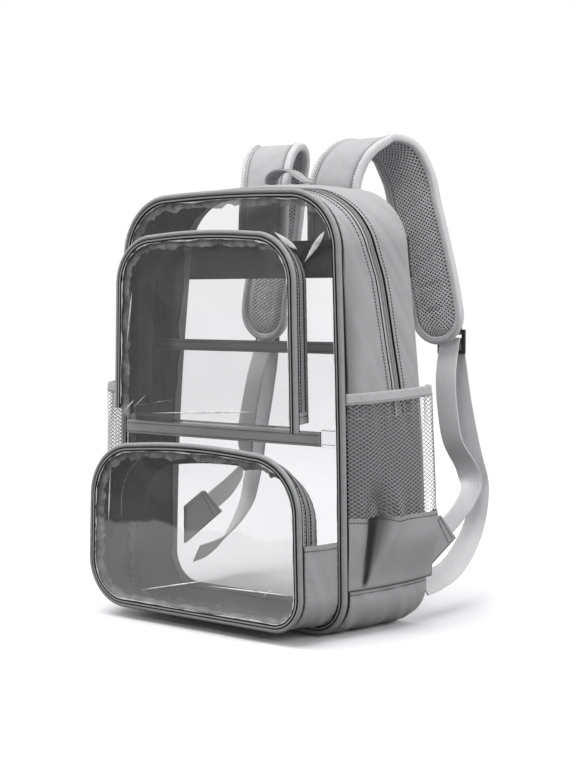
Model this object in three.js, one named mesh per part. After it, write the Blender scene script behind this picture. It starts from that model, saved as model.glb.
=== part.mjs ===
// Clear backpack with grey cloth sides, standing on its base. Millimetres, +Z up.
// While it is drawn, x runs to the wearer's right as seen from the front, y runs from
// the front seam (0) to the back, and z rises from the floor. The finished group is
// moved so that the middle of its bounding box stands over the origin.
import * as THREE from 'three';

// Body: the box of clear panels and cloth walls.
const bodyHeight = 439;
const bodyWidth = 297;
const bodyDepth = 110;
const headNarrowing = 8;
const backFlare = 25;
const backHeadFlare = 9;
const backRise = 15;
const backCrown = 9;
const frontCrown = 2;
const headCorner = 60;
const backHeadCorner = 66;
const footCorner = 38;
const sideBow = 1.5;
const backSideBow = 5;
const wallPuff = 5;
const topPuff = 2.5;

// Cloth, film and trims.
const clothThickness = 2;
const clearThickness = 1.2;
const bindingThickness = 2.2;
const gap = 0.35;
const pipingRadius = 3.6;
const pocketPipingRadius = 3.2;
const zipperWidth = 14;
const coilWidth = 5.4;
const coilHeight = 2.1;

// Front pockets.
const upperPocketWidth = bodyWidth - 62;
const upperPocketHeight = 193;
const upperPocketDepth = 38;
const upperPocketCorner = 48;
const upperPocketFoot = 204;
const upperPocketInset = 12;
const upperZipFoot = 222;
const lowerPocketWidth = bodyWidth - 20;
const lowerPocketHeight = 170;
const lowerPocketDepth = 57;
const lowerPocketCorner = 56;
const lowerFootCornerRight = 32;
const lowerFootCornerLeft = 46;
const lowerPocketFoot = 14;
const lowerPocketInset = 20;
const lowerZipFoot = 97;
const facePuff = 2.5;

// Bands across the body.
const midBandHeight = 14.5;
const midBandFoot = 187;
const midBandEnd = bodyWidth / 2 - 27.5;
const anchorBandHeight = 40;
const anchorBandFoot = bodyHeight - 85;
const sleeveHeight = 276;
const sleeveBindingHeight = 12;
const sleeveBack = 46;

// Side pockets.
const pocketPuff = 16;
const pocketFoot = 46;
const pocketClothTop = 115;
const pocketWave = 4;
const pocketTop = 239;
const pocketBindingHeight = 11;
const meshThickness = 1;
const pocketRest = 3.4;
const foldDepth = 11;

// Shoulder straps, webbing, tabs and carrying loop.
const strapWidth = 67;
const strapPad = 8.4;
const strapBinding = 9;
const strapReach = 104;
const strapRise = 61;
const webbingWidth = 25;
const webbingThickness = 1.6;
const webbingStray = 34;
const webbingReach = 98;
const tabPly = 1.1;
const tabWidth = 38;
const tabSlant = 8;
const lockWidth = 34;
const lockBar = 3.4;
const handleSpan = 36;
const handleRise = 14;
const handleWidth = 23;

// Main zipper: where it stops beside the side pockets.
const zipperFoot = 214;
// How far back the zipper runs, as a share of the depth, at shares of the height.
const zipperPlan = [
  { up: 0.48, back: 0.665 },
  { up: 0.57, back: 0.628 },
  { up: 0.66, back: 0.575 },
  { up: 0.755, back: 0.526 },
  { up: 0.8, back: 0.496 },
  { up: 0.84, back: 0.441 },
  { up: 0.875, back: 0.388 },
  { up: 0.91, back: 0.341 },
  { up: 0.945, back: 0.298 },
  { up: 0.98, back: 0.235 },
  { up: 1, back: 0.2 },
];

const GREY = 0x9b9c9e;
const MID = 0x7f8082;
const DARK = 0x4c4d50;
const LIGHT = 0xbfc0c2;
const CLEAR = 0xe4e8ea;
const METAL = 0x55565a;

const backpack = new THREE.Group();
backpack.name = 'clear_backpack';

const vec = (x, y, z) => new THREE.Vector3(x, y, z);
const mix = (a, b, t) => a + (b - a) * t;
const clamp = (v, low, high) => Math.min(high, Math.max(low, v));
const smooth = (v) => {
  const t = clamp(v, 0, 1);
  return t * t * (3 - 2 * t);
};

// Solids

function solid(points, faces) {
  let volume = 0;
  for (const [a, b, c] of faces) {
    volume += points[a].dot(points[b].clone().cross(points[c]));
  }
  const turned = volume < 0 ? faces.map(([a, b, c]) => [a, c, b]) : faces;
  return { points, faces: turned };
}

function mirrored(shape) {
  const points = shape.points.map((p) => vec(-p.x, p.y, p.z));
  return solid(points, shape.faces);
}

function add(name, shape, color, clear = false) {
  const geometry = new THREE.BufferGeometry();
  const flat = shape.points.flatMap((p) => [p.x, p.y, p.z]);
  geometry.setAttribute('position', new THREE.Float32BufferAttribute(flat, 3));
  geometry.setIndex(shape.faces.flat());
  geometry.computeVertexNormals();
  const material = new THREE.MeshStandardMaterial({
    color,
    roughness: clear ? 0.1 : 0.8,
    transparent: clear,
    opacity: clear ? 0.3 : 1,
  });
  const mesh = new THREE.Mesh(geometry, material);
  mesh.name = name;
  backpack.add(mesh);
}

function addPair(name, shape, color, clear = false) {
  add(`${name}_right`, shape, color, clear);
  add(`${name}_left`, mirrored(shape), color, clear);
}

// A sheet over a grid of {p, n}: the outer face runs through p, the inner face lies
// one thickness behind it along the normal.
function sheet(rows, thickness) {
  const columns = rows[0].length;
  const outer = rows.flat().map((k) => k.p.clone());
  const inner = rows.flat().map((k) => k.p.clone().addScaledVector(k.n, -thickness));
  const points = [...outer, ...inner];
  const back = outer.length;
  const at = (i, j) => i * columns + j;
  const faces = [];
  const quad = (a, b, c, d) => faces.push([a, b, c], [a, c, d]);
  for (let i = 0; i + 1 < rows.length; i += 1) {
    for (let j = 0; j + 1 < columns; j += 1) {
      const [a, b, c, d] = [at(i, j), at(i + 1, j), at(i + 1, j + 1), at(i, j + 1)];
      quad(a, b, c, d);
      quad(back + d, back + c, back + b, back + a);
    }
  }
  for (let i = 0; i + 1 < rows.length; i += 1) {
    quad(back + at(i, 0), back + at(i + 1, 0), at(i + 1, 0), at(i, 0));
    const j = columns - 1;
    quad(at(i, j), at(i + 1, j), back + at(i + 1, j), back + at(i, j));
  }
  for (let j = 0; j + 1 < columns; j += 1) {
    quad(at(0, j), at(0, j + 1), back + at(0, j + 1), back + at(0, j));
    const i = rows.length - 1;
    quad(back + at(i, j), back + at(i, j + 1), at(i, j + 1), at(i, j));
  }
  return solid(points, faces);
}

// A closed section carried along frames of {p, a, b}; a loop closes on itself.
function sweep(frames, sectionAt, loop = false) {
  const sections = frames.map((f, i) => sectionAt(i / (frames.length - 1), i));
  const count = sections[0].length;
  const points = [];
  frames.forEach((f, i) => {
    for (const [a, b] of sections[i]) {
      points.push(f.p.clone().addScaledVector(f.a, a).addScaledVector(f.b, b));
    }
  });
  const faces = [];
  const rings = loop ? frames.length : frames.length - 1;
  for (let i = 0; i < rings; i += 1) {
    const next = (i + 1) % frames.length;
    for (let k = 0; k < count; k += 1) {
      const m = (k + 1) % count;
      const [a, b] = [i * count + k, i * count + m];
      const [c, d] = [next * count + m, next * count + k];
      faces.push([a, b, c], [a, c, d]);
    }
  }
  if (!loop) {
    const last = (frames.length - 1) * count;
    for (let k = 1; k + 1 < count; k += 1) {
      faces.push([0, k + 1, k]);
      faces.push([last, last + k, last + k + 1]);
    }
  }
  return solid(points, faces);
}

const roundSection = (radius, sides) => Array.from({ length: sides }, (_, k) => {
  const turn = (2 * Math.PI * (k + 0.5)) / sides;
  return [radius * Math.cos(turn), radius * Math.sin(turn)];
});

const flatSection = (width, thickness) => [
  [-width / 2, -thickness / 2],
  [width / 2, -thickness / 2],
  [width / 2, thickness / 2],
  [-width / 2, thickness / 2],
];

// Outlines

// How many faces each stretch of half an outline has.
const COUNT = { along: 3, lowTurn: 4, upright: 7, highTurn: 6, across: 3 };
const HALF = COUNT.along + COUNT.lowTurn + COUNT.upright + COUNT.highTurn + COUNT.across;
const FULL = 2 * HALF;

function halfOutline(o, sign, footRadius) {
  const points = [];
  const headZ = o.top - o.crown;
  const flatFoot = o.halfFoot - footRadius;
  const flatHead = o.halfHead - o.headRadius;
  for (let i = 0; i < COUNT.along; i += 1) {
    points.push([flatFoot * (i / COUNT.along), o.bottom]);
  }
  for (let i = 0; i < COUNT.lowTurn; i += 1) {
    const turn = (Math.PI / 2) * (i / COUNT.lowTurn);
    points.push([
      flatFoot + footRadius * Math.sin(turn),
      o.bottom + footRadius * (1 - Math.cos(turn)),
    ]);
  }
  const sideFoot = o.bottom + footRadius;
  const sideHead = headZ - o.headRadius;
  for (let i = 0; i < COUNT.upright; i += 1) {
    const t = i / COUNT.upright;
    points.push([
      mix(o.halfFoot, o.halfHead, t) + o.bow * Math.sin(Math.PI * t),
      mix(sideFoot, sideHead, t),
    ]);
  }
  for (let i = 0; i < COUNT.highTurn; i += 1) {
    const turn = (Math.PI / 2) * (i / COUNT.highTurn);
    points.push([
      flatHead + o.headRadius * Math.cos(turn),
      sideHead + o.headRadius * Math.sin(turn),
    ]);
  }
  for (let i = 0; i <= COUNT.across; i += 1) {
    const t = 1 - i / COUNT.across;
    points.push([flatHead * t, o.top - o.crown * t * t]);
  }
  return points.map(([x, z]) => [sign * x, z]);
}

// A closed outline that starts at the middle of the foot and climbs the right side.
function outline(o) {
  const right = halfOutline(o, 1, o.footRadius);
  const left = halfOutline(o, -1, o.footRadiusLeft ?? o.footRadius);
  return [...right, ...left.reverse().slice(1, -1)];
}

function onOutline(points, u) {
  const turn = ((u % FULL) + FULL) % FULL;
  const i = Math.floor(turn);
  const t = turn - i;
  const a = points[i % FULL];
  const b = points[(i + 1) % FULL];
  return [mix(a[0], b[0], t), mix(a[1], b[1], t)];
}

function outward(points, u) {
  const [ax, az] = onOutline(points, u - 0.5);
  const [bx, bz] = onOutline(points, u + 0.5);
  const length = Math.hypot(bx - ax, bz - az);
  return [(bz - az) / length, -(bx - ax) / length];
}

function inset(points, amount) {
  return points.map(([x, z], i) => {
    const [nx, nz] = outward(points, i);
    return [x - nx * amount, z - nz * amount];
  });
}

// The place along the right side where an outline reaches height z.
function sideAt(points, z) {
  for (let i = COUNT.along; i < HALF; i += 1) {
    const [a, b] = [points[i][1], points[i + 1][1]];
    if (z >= a && z <= b && b > a) return i + (z - a) / (b - a);
  }
  return COUNT.along;
}

function steps(from, to) {
  const list = [from];
  for (let u = Math.ceil(from + 0.12); u < to - 0.12; u += 1) list.push(u);
  list.push(to);
  return list;
}

// A flat or gently domed panel inside an outline, facing the front.
function panel(points, y, thickness, dome = 0, rings = [1, 0.5]) {
  const heights = points.map((p) => p[1]);
  const middle = (Math.min(...heights) + Math.max(...heights)) / 2;
  const front = [];
  for (const share of rings) {
    for (const [x, z] of points) {
      front.push(vec(x * share, y - dome * (1 - share * share), mix(middle, z, share)));
    }
  }
  front.push(vec(0, y - dome, middle));
  const back = front.map((p) => vec(p.x, p.y + thickness, p.z));
  const count = points.length;
  const shift = front.length;
  const faces = [];
  for (let r = 0; r + 1 < rings.length; r += 1) {
    for (let k = 0; k < count; k += 1) {
      const m = (k + 1) % count;
      const [a, b] = [r * count + k, r * count + m];
      const [c, d] = [(r + 1) * count + m, (r + 1) * count + k];
      faces.push([a, b, c], [a, c, d]);
      faces.push([shift + a, shift + c, shift + b], [shift + a, shift + d, shift + c]);
    }
  }
  const lastRing = (rings.length - 1) * count;
  for (let k = 0; k < count; k += 1) {
    const m = (k + 1) % count;
    faces.push([lastRing + k, lastRing + m, front.length - 1]);
    faces.push([shift + lastRing + m, shift + lastRing + k, shift + front.length - 1]);
    faces.push([k, shift + k, shift + m], [k, shift + m, m]);
  }
  return solid([...front, ...back], faces);
}

// A wall between a front and a back outline; at(u, t) gives the outer face.
function wall(front, back, yFront, yBack, puff) {
  const point = (u, t) => {
    const f = onOutline(front, u);
    const b = onOutline(back, u);
    const [nx, nz] = outward(front, u);
    const lift = puff(nx, nz, t);
    return vec(
      mix(f[0], b[0], t) + nx * lift,
      mix(yFront, yBack, t),
      mix(f[1], b[1], t) + nz * lift,
    );
  };
  const at = (u, t) => {
    const p = point(u, t);
    const along = point(u + 0.3, t).sub(point(u - 0.3, t));
    const deep = point(u, t + 0.02).sub(point(u, t - 0.02));
    const n = deep.clone().cross(along).normalize();
    const [nx, nz] = outward(front, u);
    if (n.x * nx + n.z * nz < 0) n.negate();
    return { p, n, d: deep.normalize() };
  };
  return { at };
}

const wallSheet = (w, us, ts, thickness) => sheet(
  us.map((u) => ts(u).map((t) => w.at(u, t))),
  thickness,
);

// A zipper: two tapes with a raised coil between them, set into a wall.
function zipper(w, us, centreShare, width, deep) {
  const half = width / 2 - gap;
  const frames = us.map((u) => {
    const { p, n, d } = w.at(u, centreShare(u));
    return { p: p.addScaledVector(n, -clothThickness * 0.6), a: d, b: n };
  });
  const tape = clothThickness * 0.35;
  return sweep(frames, () => [
    [-half, -tape],
    [half, -tape],
    [half, tape],
    [coilWidth / 2, deep],
    [-coilWidth / 2, deep],
    [-half, tape],
  ]);
}

// Body

const halfBody = bodyWidth / 2;
const frontOutline = outline({
  bottom: pipingRadius,
  top: bodyHeight,
  halfFoot: halfBody,
  halfHead: halfBody - headNarrowing,
  footRadius: footCorner - pipingRadius,
  headRadius: headCorner,
  bow: sideBow,
  crown: frontCrown,
});
const backOutline = outline({
  bottom: pipingRadius,
  top: bodyHeight + backRise,
  halfFoot: halfBody + backFlare,
  halfHead: halfBody - headNarrowing + backHeadFlare,
  footRadius: footCorner,
  headRadius: backHeadCorner,
  bow: backSideBow,
  crown: backCrown,
});

function bodyPuff(nx, nz, t) {
  const hump = Math.sin(Math.PI * clamp(t, 0, 1));
  const side = wallPuff * hump * nx * nx;
  const top = topPuff * hump * Math.max(0, nz);
  const settled = smooth((t - 0.036) / 0.09) * smooth((0.99 - t) / 0.1);
  const foot = pipingRadius * settled * Math.max(0, -nz) ** 2;
  return side + top + foot;
}
const body = wall(frontOutline, backOutline, 0, bodyDepth, bodyPuff);
const frontEdge = (pipingRadius + gap) / bodyDepth;
const backEdge = 1 - gap / bodyDepth;

const zipEndU = sideAt(frontOutline, zipperFoot);
const zipSteps = steps(zipEndU, FULL - zipEndU);
function zipShare(u) {
  const z = onOutline(frontOutline, u)[1];
  const up = clamp(z / bodyHeight, zipperPlan[0].up, 1);
  const k = Math.max(1, zipperPlan.findIndex((row) => row.up >= up));
  const [a, b] = [zipperPlan[k - 1], zipperPlan[k]];
  return mix(a.back, b.back, (up - a.up) / (b.up - a.up));
}
const zipHalf = zipperWidth / 2 / bodyDepth;

add('gusset_front_strip', wallSheet(body, zipSteps, (u) => {
  const edge = zipShare(u) - zipHalf;
  return [frontEdge, mix(frontEdge, edge, 0.5), edge];
}, clothThickness), GREY);

add('gusset_rear_strip', wallSheet(body, zipSteps, (u) => {
  const edge = zipShare(u) + zipHalf;
  return [edge, mix(edge, backEdge, 0.33), mix(edge, backEdge, 0.68), backEdge];
}, clothThickness), GREY);

add('main_zipper', zipper(body, zipSteps, zipShare, zipperWidth, coilHeight), MID);

const baseTop = zipEndU - 0.02;
const baseSteps = steps(-baseTop, baseTop);
add('side_and_base_panel', wallSheet(
  body,
  baseSteps,
  () => [frontEdge, 0.13, 0.32, 0.54, 0.76, 0.885, backEdge],
  clothThickness,
), GREY);

const pipeFrames = (points, us, y) => us.map((u) => {
  const [x, z] = onOutline(points, u);
  const [nx, nz] = outward(points, u);
  return { p: vec(x, y, z), a: vec(nx, 0, nz), b: vec(0, 1, 0) };
});
const allSteps = Array.from({ length: FULL }, (_, i) => i);
add('main_piping', sweep(
  pipeFrames(frontOutline, allSteps, 0),
  () => roundSection(pipingRadius, 6),
  true,
), DARK);

const frontPanelOutline = inset(frontOutline, pipingRadius + gap);
add('front_panel', panel(frontPanelOutline, 0, clearThickness), CLEAR, true);

const backPanelOutline = inset(backOutline, gap);
add('back_panel', panel(backPanelOutline, bodyDepth, clearThickness), CLEAR, true);

// The binding lies inside the walls, along their back edge.
const bindingWidth = 9;
const bindingShare = 1 - (gap + bindingWidth / 2) / bodyDepth;
const bindingFrames = allSteps.map((u) => {
  const { p, n, d } = body.at(u, bindingShare);
  const inwards = clothThickness + gap + bindingThickness / 2;
  return { p: p.addScaledVector(n, -inwards), a: n, b: d };
});
add('back_seam_binding', sweep(
  bindingFrames,
  () => flatSection(bindingThickness, bindingWidth - 2 * gap),
  true,
), MID);

// Bands and sleeve

// A flat strip facing the front between two ends, following slanted sides.
function strip(leftX, rightX, foot, head, y, thickness, count = 4) {
  const rows = [];
  for (let i = 0; i <= count; i += 1) {
    const row = [foot, head].map((z) => ({
      p: vec(mix(leftX(z), rightX(z), i / count), y, z),
      n: vec(0, -1, 0),
    }));
    rows.push(row);
  }
  return sheet(rows, thickness);
}

const halfAt = (points, z) => onOutline(points, sideAt(points, z))[0];
const bandEnd = (z) => halfAt(frontOutline, z) - pipingRadius - 2 * gap;
add('front_mid_band', strip(
  (z) => -bandEnd(z),
  () => midBandEnd,
  midBandFoot,
  midBandFoot + midBandHeight,
  -clothThickness - gap,
  clothThickness,
), MID);

const anchorEnd = (z) => halfAt(backPanelOutline, z) - 1;
add('strap_anchor_band', strip(
  (z) => -anchorEnd(z),
  anchorEnd,
  anchorBandFoot,
  anchorBandFoot + anchorBandHeight,
  bodyDepth + clearThickness + gap,
  clothThickness,
), DARK);

const sleeveShare = sleeveBack / bodyDepth;
const sleeveEnd = (z) => body.at(sideAt(frontOutline, z), sleeveShare).p.x
  - clothThickness - 3 * gap;
const sleeveFoot = clothThickness + 3 * gap;
const sleeveLevels = [
  { rise: 0 },
  { rise: 0.03 },
  { rise: 0.08 },
  { rise: 0.16 },
  { rise: 0.5 },
  { rise: 1 },
].map(({ rise }) => mix(sleeveFoot, sleeveHeight - gap, rise));
const footPull = (z) => {
  const short = clamp(1 - (z - sleeveFoot) / footCorner, 0, 1);
  return footCorner * (1 - Math.sqrt(1 - short * short)) + 1;
};
const sleeveRows = [];
for (let i = 0; i <= 4; i += 1) {
  sleeveRows.push(sleeveLevels.map((z) => {
    const end = sleeveEnd(Math.max(z, footCorner)) - footPull(z);
    return { p: vec(mix(-end, end, i / 4), sleeveBack, z), n: vec(0, -1, 0) };
  }));
}
add('inner_sleeve', sheet(sleeveRows, clearThickness), CLEAR, true);
add('inner_sleeve_binding', strip(
  (z) => -sleeveEnd(z),
  sleeveEnd,
  sleeveHeight,
  sleeveHeight + sleeveBindingHeight,
  sleeveBack,
  clothThickness,
), MID);

// Upper front pocket

const upperHalf = upperPocketWidth / 2;
const upperHead = upperPocketFoot + upperPocketHeight;
const upperFace = outline({
  bottom: upperPocketFoot,
  top: upperHead,
  halfFoot: upperHalf + 1,
  halfHead: upperHalf - 2,
  footRadius: 6,
  footRadiusLeft: 16,
  headRadius: upperPocketCorner,
  bow: 0,
  crown: 3,
});
const upperBase = outline({
  bottom: upperPocketFoot,
  top: upperHead - upperPocketInset * 0.6,
  halfFoot: upperHalf + 1 - upperPocketInset,
  halfHead: upperHalf - 2 - upperPocketInset,
  footRadius: 6,
  footRadiusLeft: 16,
  headRadius: upperPocketCorner - upperPocketInset * 0.4,
  bow: 0,
  crown: 3,
});
const pocketSwell = (nx, nz, t) => 1.5 * Math.sin(Math.PI * clamp(t, 0, 1));
const upperWall = wall(upperFace, upperBase, -upperPocketDepth, -gap, pocketSwell);
const upperLip = (pocketPipingRadius + gap) / upperPocketDepth;
const upperZipU = sideAt(upperFace, upperZipFoot);
const upperZipSteps = steps(upperZipU, FULL - upperZipU);
const upperZipWidth = zipperWidth * 0.86;
const upperZipHalf = upperZipWidth / 2 / upperPocketDepth;
const upperZipShare = 0.47;

add('upper_pocket_panel', panel(
  inset(upperFace, pocketPipingRadius + gap),
  -upperPocketDepth,
  clearThickness,
  facePuff,
  [1, 0.55],
), CLEAR, true);
const upperPipeSteps = steps(COUNT.along + 0.6, FULL - COUNT.along + 0.6);
add('upper_pocket_piping', sweep(
  pipeFrames(upperFace, upperPipeSteps, -upperPocketDepth),
  () => roundSection(pocketPipingRadius, 6),
), DARK);
add('upper_gusset_front', wallSheet(
  upperWall,
  upperZipSteps,
  () => [upperLip, upperZipShare - upperZipHalf],
  clothThickness,
), GREY);
add('upper_gusset_rear', wallSheet(
  upperWall,
  upperZipSteps,
  () => [upperZipShare + upperZipHalf, 0.99],
  clothThickness,
), GREY);
add('upper_zipper', zipper(
  upperWall,
  upperZipSteps,
  () => upperZipShare,
  upperZipWidth,
  coilHeight * 0.8,
), MID);
const upperBlockSteps = steps(COUNT.along + COUNT.lowTurn, upperZipU - 0.015);
addPair('upper_gusset_end', wallSheet(
  upperWall,
  upperBlockSteps,
  () => [upperLip, 0.5, 0.99],
  clothThickness,
), MID);
add('upper_pocket_floor', sheet(
  [-1, -0.4, 0.4, 1].map((side) => [pocketPipingRadius + 2 * gap - upperPocketDepth, -gap * 2].map((y) => ({
    p: vec(side * (upperHalf - upperPocketInset - 10), y, upperPocketFoot - 0.2),
    n: vec(0, 0, -1),
  }))),
  clearThickness,
), CLEAR, true);

// Lower front pocket

const lowerHalf = lowerPocketWidth / 2;
const lowerHead = lowerPocketFoot + lowerPocketHeight;
const lowerShape = {
  bottom: lowerPocketFoot,
  top: lowerHead,
  halfFoot: lowerHalf,
  halfHead: lowerHalf - 2,
  footRadius: lowerFootCornerRight,
  footRadiusLeft: lowerFootCornerLeft,
  headRadius: lowerPocketCorner,
  bow: 0,
  crown: 4,
};
const lowerFace = outline(lowerShape);
const lowerBase = outline({
  ...lowerShape,
  top: lowerHead - lowerPocketInset,
  halfFoot: lowerHalf - lowerPocketInset,
  halfHead: lowerHalf - 2 - lowerPocketInset,
  headRadius: lowerPocketCorner - lowerPocketInset * 0.2,
});
const lowerFootBase = outline({
  ...lowerShape,
  bottom: 2 * pipingRadius + clothThickness,
  halfFoot: halfBody - pipingRadius - 2 * gap,
  halfHead: halfBody - pipingRadius - 2 * gap - 1,
  footRadiusLeft: lowerFootCornerRight + 2,
});
const lowerWall = wall(lowerFace, lowerBase, -lowerPocketDepth, -gap, pocketSwell);
const footWall = wall(
  lowerFace,
  lowerFootBase,
  -lowerPocketDepth,
  -pipingRadius * 0.3,
  (nx, nz, t) => 2.5 * Math.sin(Math.PI * clamp(t, 0, 1)) * Math.abs(nx),
);
const lowerLip = (pocketPipingRadius + gap) / lowerPocketDepth;
const lowerZipU = sideAt(lowerFace, lowerZipFoot);
const lowerZipSteps = steps(lowerZipU, FULL - lowerZipU);
const lowerZipHalf = zipperWidth / 2 / lowerPocketDepth;
const lowerZipShare = 0.44;

add('lower_pocket_panel', panel(
  inset(lowerFace, pocketPipingRadius + gap),
  -lowerPocketDepth,
  clearThickness,
  facePuff * 1.4,
  [1, 0.55],
), CLEAR, true);
add('lower_pocket_piping', sweep(
  pipeFrames(lowerFace, allSteps, -lowerPocketDepth),
  () => roundSection(pocketPipingRadius, 6),
  true,
), DARK);
add('lower_gusset_front', wallSheet(
  lowerWall,
  lowerZipSteps,
  () => [lowerLip, lowerZipShare - lowerZipHalf],
  clothThickness,
), GREY);
add('lower_gusset_rear', wallSheet(
  lowerWall,
  lowerZipSteps,
  () => [lowerZipShare + lowerZipHalf, 0.99],
  clothThickness,
), GREY);
add('lower_zipper', zipper(
  lowerWall,
  lowerZipSteps,
  () => lowerZipShare,
  zipperWidth,
  coilHeight,
), MID);
const footTop = lowerZipU - 0.02;
add('lower_foot_gusset', wallSheet(
  footWall,
  steps(-footTop, footTop),
  () => [lowerLip, 0.35, 0.7, 1],
  clothThickness,
), GREY);

// Side pockets

// Plan of a side pocket from the front seam to the back seam: how far back each place
// stands as a share of the body depth, and how far it stands off as a share of the puff.
const pocketPlan = [
  { back: 0.045, off: 0.1 },
  { back: 0.13, off: 0.3 },
  { back: 0.2, off: 0.48 },
  { back: 0.27, off: 0.56 },
  { back: 0.34, off: 0.6 },
  { back: 0.42, off: 0.68 },
  { back: 0.52, off: 0.76 },
  { back: 0.66, off: 0.86 },
  { back: 0.8, off: 0.95 },
  { back: 0.92, off: 1 },
  { back: 1.0, off: 0.96 },
  { back: 1.045, off: 0.7 },
  { back: 1.04, off: 0.38 },
];
// The dart: a valley that leans forward toward the foot of the pocket.
function dart(back, z) {
  const rise = clamp((z - pocketFoot) / (pocketClothTop - pocketFoot), 0, 1);
  const middle = mix(0.15, 0.335, rise);
  const half = mix(0.03, 0.075, rise);
  const above = smooth(1 - (z - pocketClothTop) / (0.36 * pocketClothTop));
  return Math.exp(-(((back - middle) / half) ** 2)) * above * mix(0.45, 1, rise);
}
function pocketPoint(row, z, extra) {
  const u = sideAt(frontOutline, z);
  const t = row.back;
  const { p, n } = body.at(u, t);
  const rise = smooth((z - pocketFoot) / 34);
  const lean = mix(0.42, 1, rise);
  const swell = 1 + 0.35 * dart(row.back + 0.13, z) + 0.25 * dart(row.back - 0.12, z);
  const free = pocketPuff * row.off * lean * swell;
  const off = Math.max(pocketRest, free - foldDepth * dart(row.back, z));
  return { p: p.addScaledVector(n, off + extra) };
}
function pocketSheet(levels, extra, thickness) {
  const rows = pocketPlan.map((row) => levels(row).map((z) => pocketPoint(row, z, extra)));
  rows.forEach((row, i) => row.forEach((k, j) => {
    const across = rows[Math.min(i + 1, rows.length - 1)][j].p.clone()
      .sub(rows[Math.max(i - 1, 0)][j].p);
    const up = row[Math.min(j + 1, row.length - 1)].p.clone()
      .sub(row[Math.max(j - 1, 0)].p);
    k.n = across.cross(up).normalize();
  }));
  return sheet(rows, thickness);
}
const clothTopAt = (row) => pocketClothTop
  + pocketWave * Math.cos(2 * Math.PI * (row.back - 0.28) * 2.1)
  + pocketWave * 0.5 * row.back;
const levelsBetween = (low, high, count) => (row) => Array.from(
  { length: count + 1 },
  (_, i) => mix(low(row), high(row), i / count),
);
const bindingFoot = (row) => pocketTop - pocketBindingHeight + 2 * row.back;
addPair('side_pocket_cloth', pocketSheet(
  levelsBetween(() => pocketFoot, clothTopAt, 4),
  gap,
  1.4,
), GREY);
addPair('side_pocket_mesh', pocketSheet(
  levelsBetween((row) => clothTopAt(row) + gap, (row) => bindingFoot(row) - gap, 4),
  -1.4 - gap,
  meshThickness,
), MID);
addPair('side_pocket_binding', pocketSheet(
  levelsBetween(bindingFoot, (row) => pocketTop + 2 * row.back, 1),
  -0.6,
  bindingThickness,
), LIGHT);

// Straps

// Frames along a smooth path; turn rolls the width about the path, in degrees.
function framesAlong(rows, count, place = (row) => vec(row.x, row.y, row.z)) {
  const curve = new THREE.CatmullRomCurve3(rows.map(place), false, 'centripetal');
  const frames = [];
  for (let i = 0; i <= count; i += 1) {
    const s = i / count;
    const p = curve.getPoint(s);
    const tangent = curve.getTangent(s);
    const at = s * (rows.length - 1);
    const k = Math.min(Math.floor(at), rows.length - 2);
    const roll = THREE.MathUtils.degToRad(mix(rows[k].turn, rows[k + 1].turn, at - k));
    const level = vec(1, 0, 0).addScaledVector(tangent, -tangent.x).normalize();
    const across = tangent.clone().cross(level);
    const a = level.multiplyScalar(Math.cos(roll)).addScaledVector(across, Math.sin(roll));
    frames.push({ p, a, b: a.clone().cross(tangent).normalize(), t: tangent });
  }
  return frames;
}

// Strap centre line: out is a share of half the body width, back a share of the reach
// behind the back panel, up a share of the rise above the front height (below it: of
// the body height).
const strapPlan = [
  { out: 0.327, back: 0.0885, up: -0.152, turn: 0 },
  { out: 0.325, back: 0.09, up: -0.06, turn: 0 },
  { out: 0.32, back: 0.115, up: 0.25, turn: 0 },
  { out: 0.353, back: 0.23, up: 0.69, turn: 0 },
  { out: 0.4, back: 0.4, up: 0.93, turn: 0 },
  { out: 0.447, back: 0.59, up: 1, turn: 0 },
  { out: 0.52, back: 0.78, up: 0.83, turn: 0 },
  { out: 0.585, back: 0.89, up: 0.42, turn: 1 },
  { out: 0.635, back: 0.925, up: -0.02, turn: 2 },
  { out: 0.707, back: 0.96, up: -0.127, turn: 2 },
  { out: 0.787, back: 0.965, up: -0.242, turn: 2 },
  { out: 0.833, back: 1, up: -0.357, turn: 2 },
];
const strapPlace = (row) => vec(
  row.out * halfBody,
  bodyDepth + row.back * strapReach,
  bodyHeight + (row.up > 0 ? row.up * strapRise : row.up * bodyHeight),
);
const strapCount = 26;
const strapFrames = framesAlong(strapPlan, strapCount, strapPlace);
const strapLengths = strapFrames.map((f, i) => (i ? f.p.distanceTo(strapFrames[i - 1].p) : 0));
for (let i = 1; i < strapLengths.length; i += 1) strapLengths[i] += strapLengths[i - 1];
const strapLength = strapLengths[strapCount];
function strapFrame(s) {
  const along = clamp(s, 0, strapLength);
  let i = 0;
  while (i < strapCount - 1 && strapLengths[i + 1] < along) i += 1;
  const t = (along - strapLengths[i]) / (strapLengths[i + 1] - strapLengths[i]);
  const [f, g] = [strapFrames[i], strapFrames[i + 1]];
  return {
    p: f.p.clone().lerp(g.p, t),
    a: f.a.clone().lerp(g.a, t).normalize(),
    b: f.b.clone().lerp(g.b, t).normalize(),
    t: f.t.clone().lerp(g.t, t).normalize(),
  };
}
const strapTip = strapLength - strapWidth / 2;
const padHalf = strapWidth / 2 - strapBinding - 2 * gap;
const tipStations = [0, 0.35, 0.62, 0.82, 0.93].map((k) => strapTip + padHalf * k);
const bodyStations = Array.from({ length: 15 }, (_, i) => (strapTip * i) / 15);
const padStations = [...bodyStations, ...tipStations];
function padHalfAt(s) {
  const over = clamp((s - strapTip) / padHalf, 0, 1);
  return padHalf * Math.sqrt(1 - over * over) * (1 - 0.04 * over);
}
const padFrames = padStations.map(strapFrame);
const coverThickness = 1.5;
const padTop = strapPad / 2 - coverThickness - 2 * gap;
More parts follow.
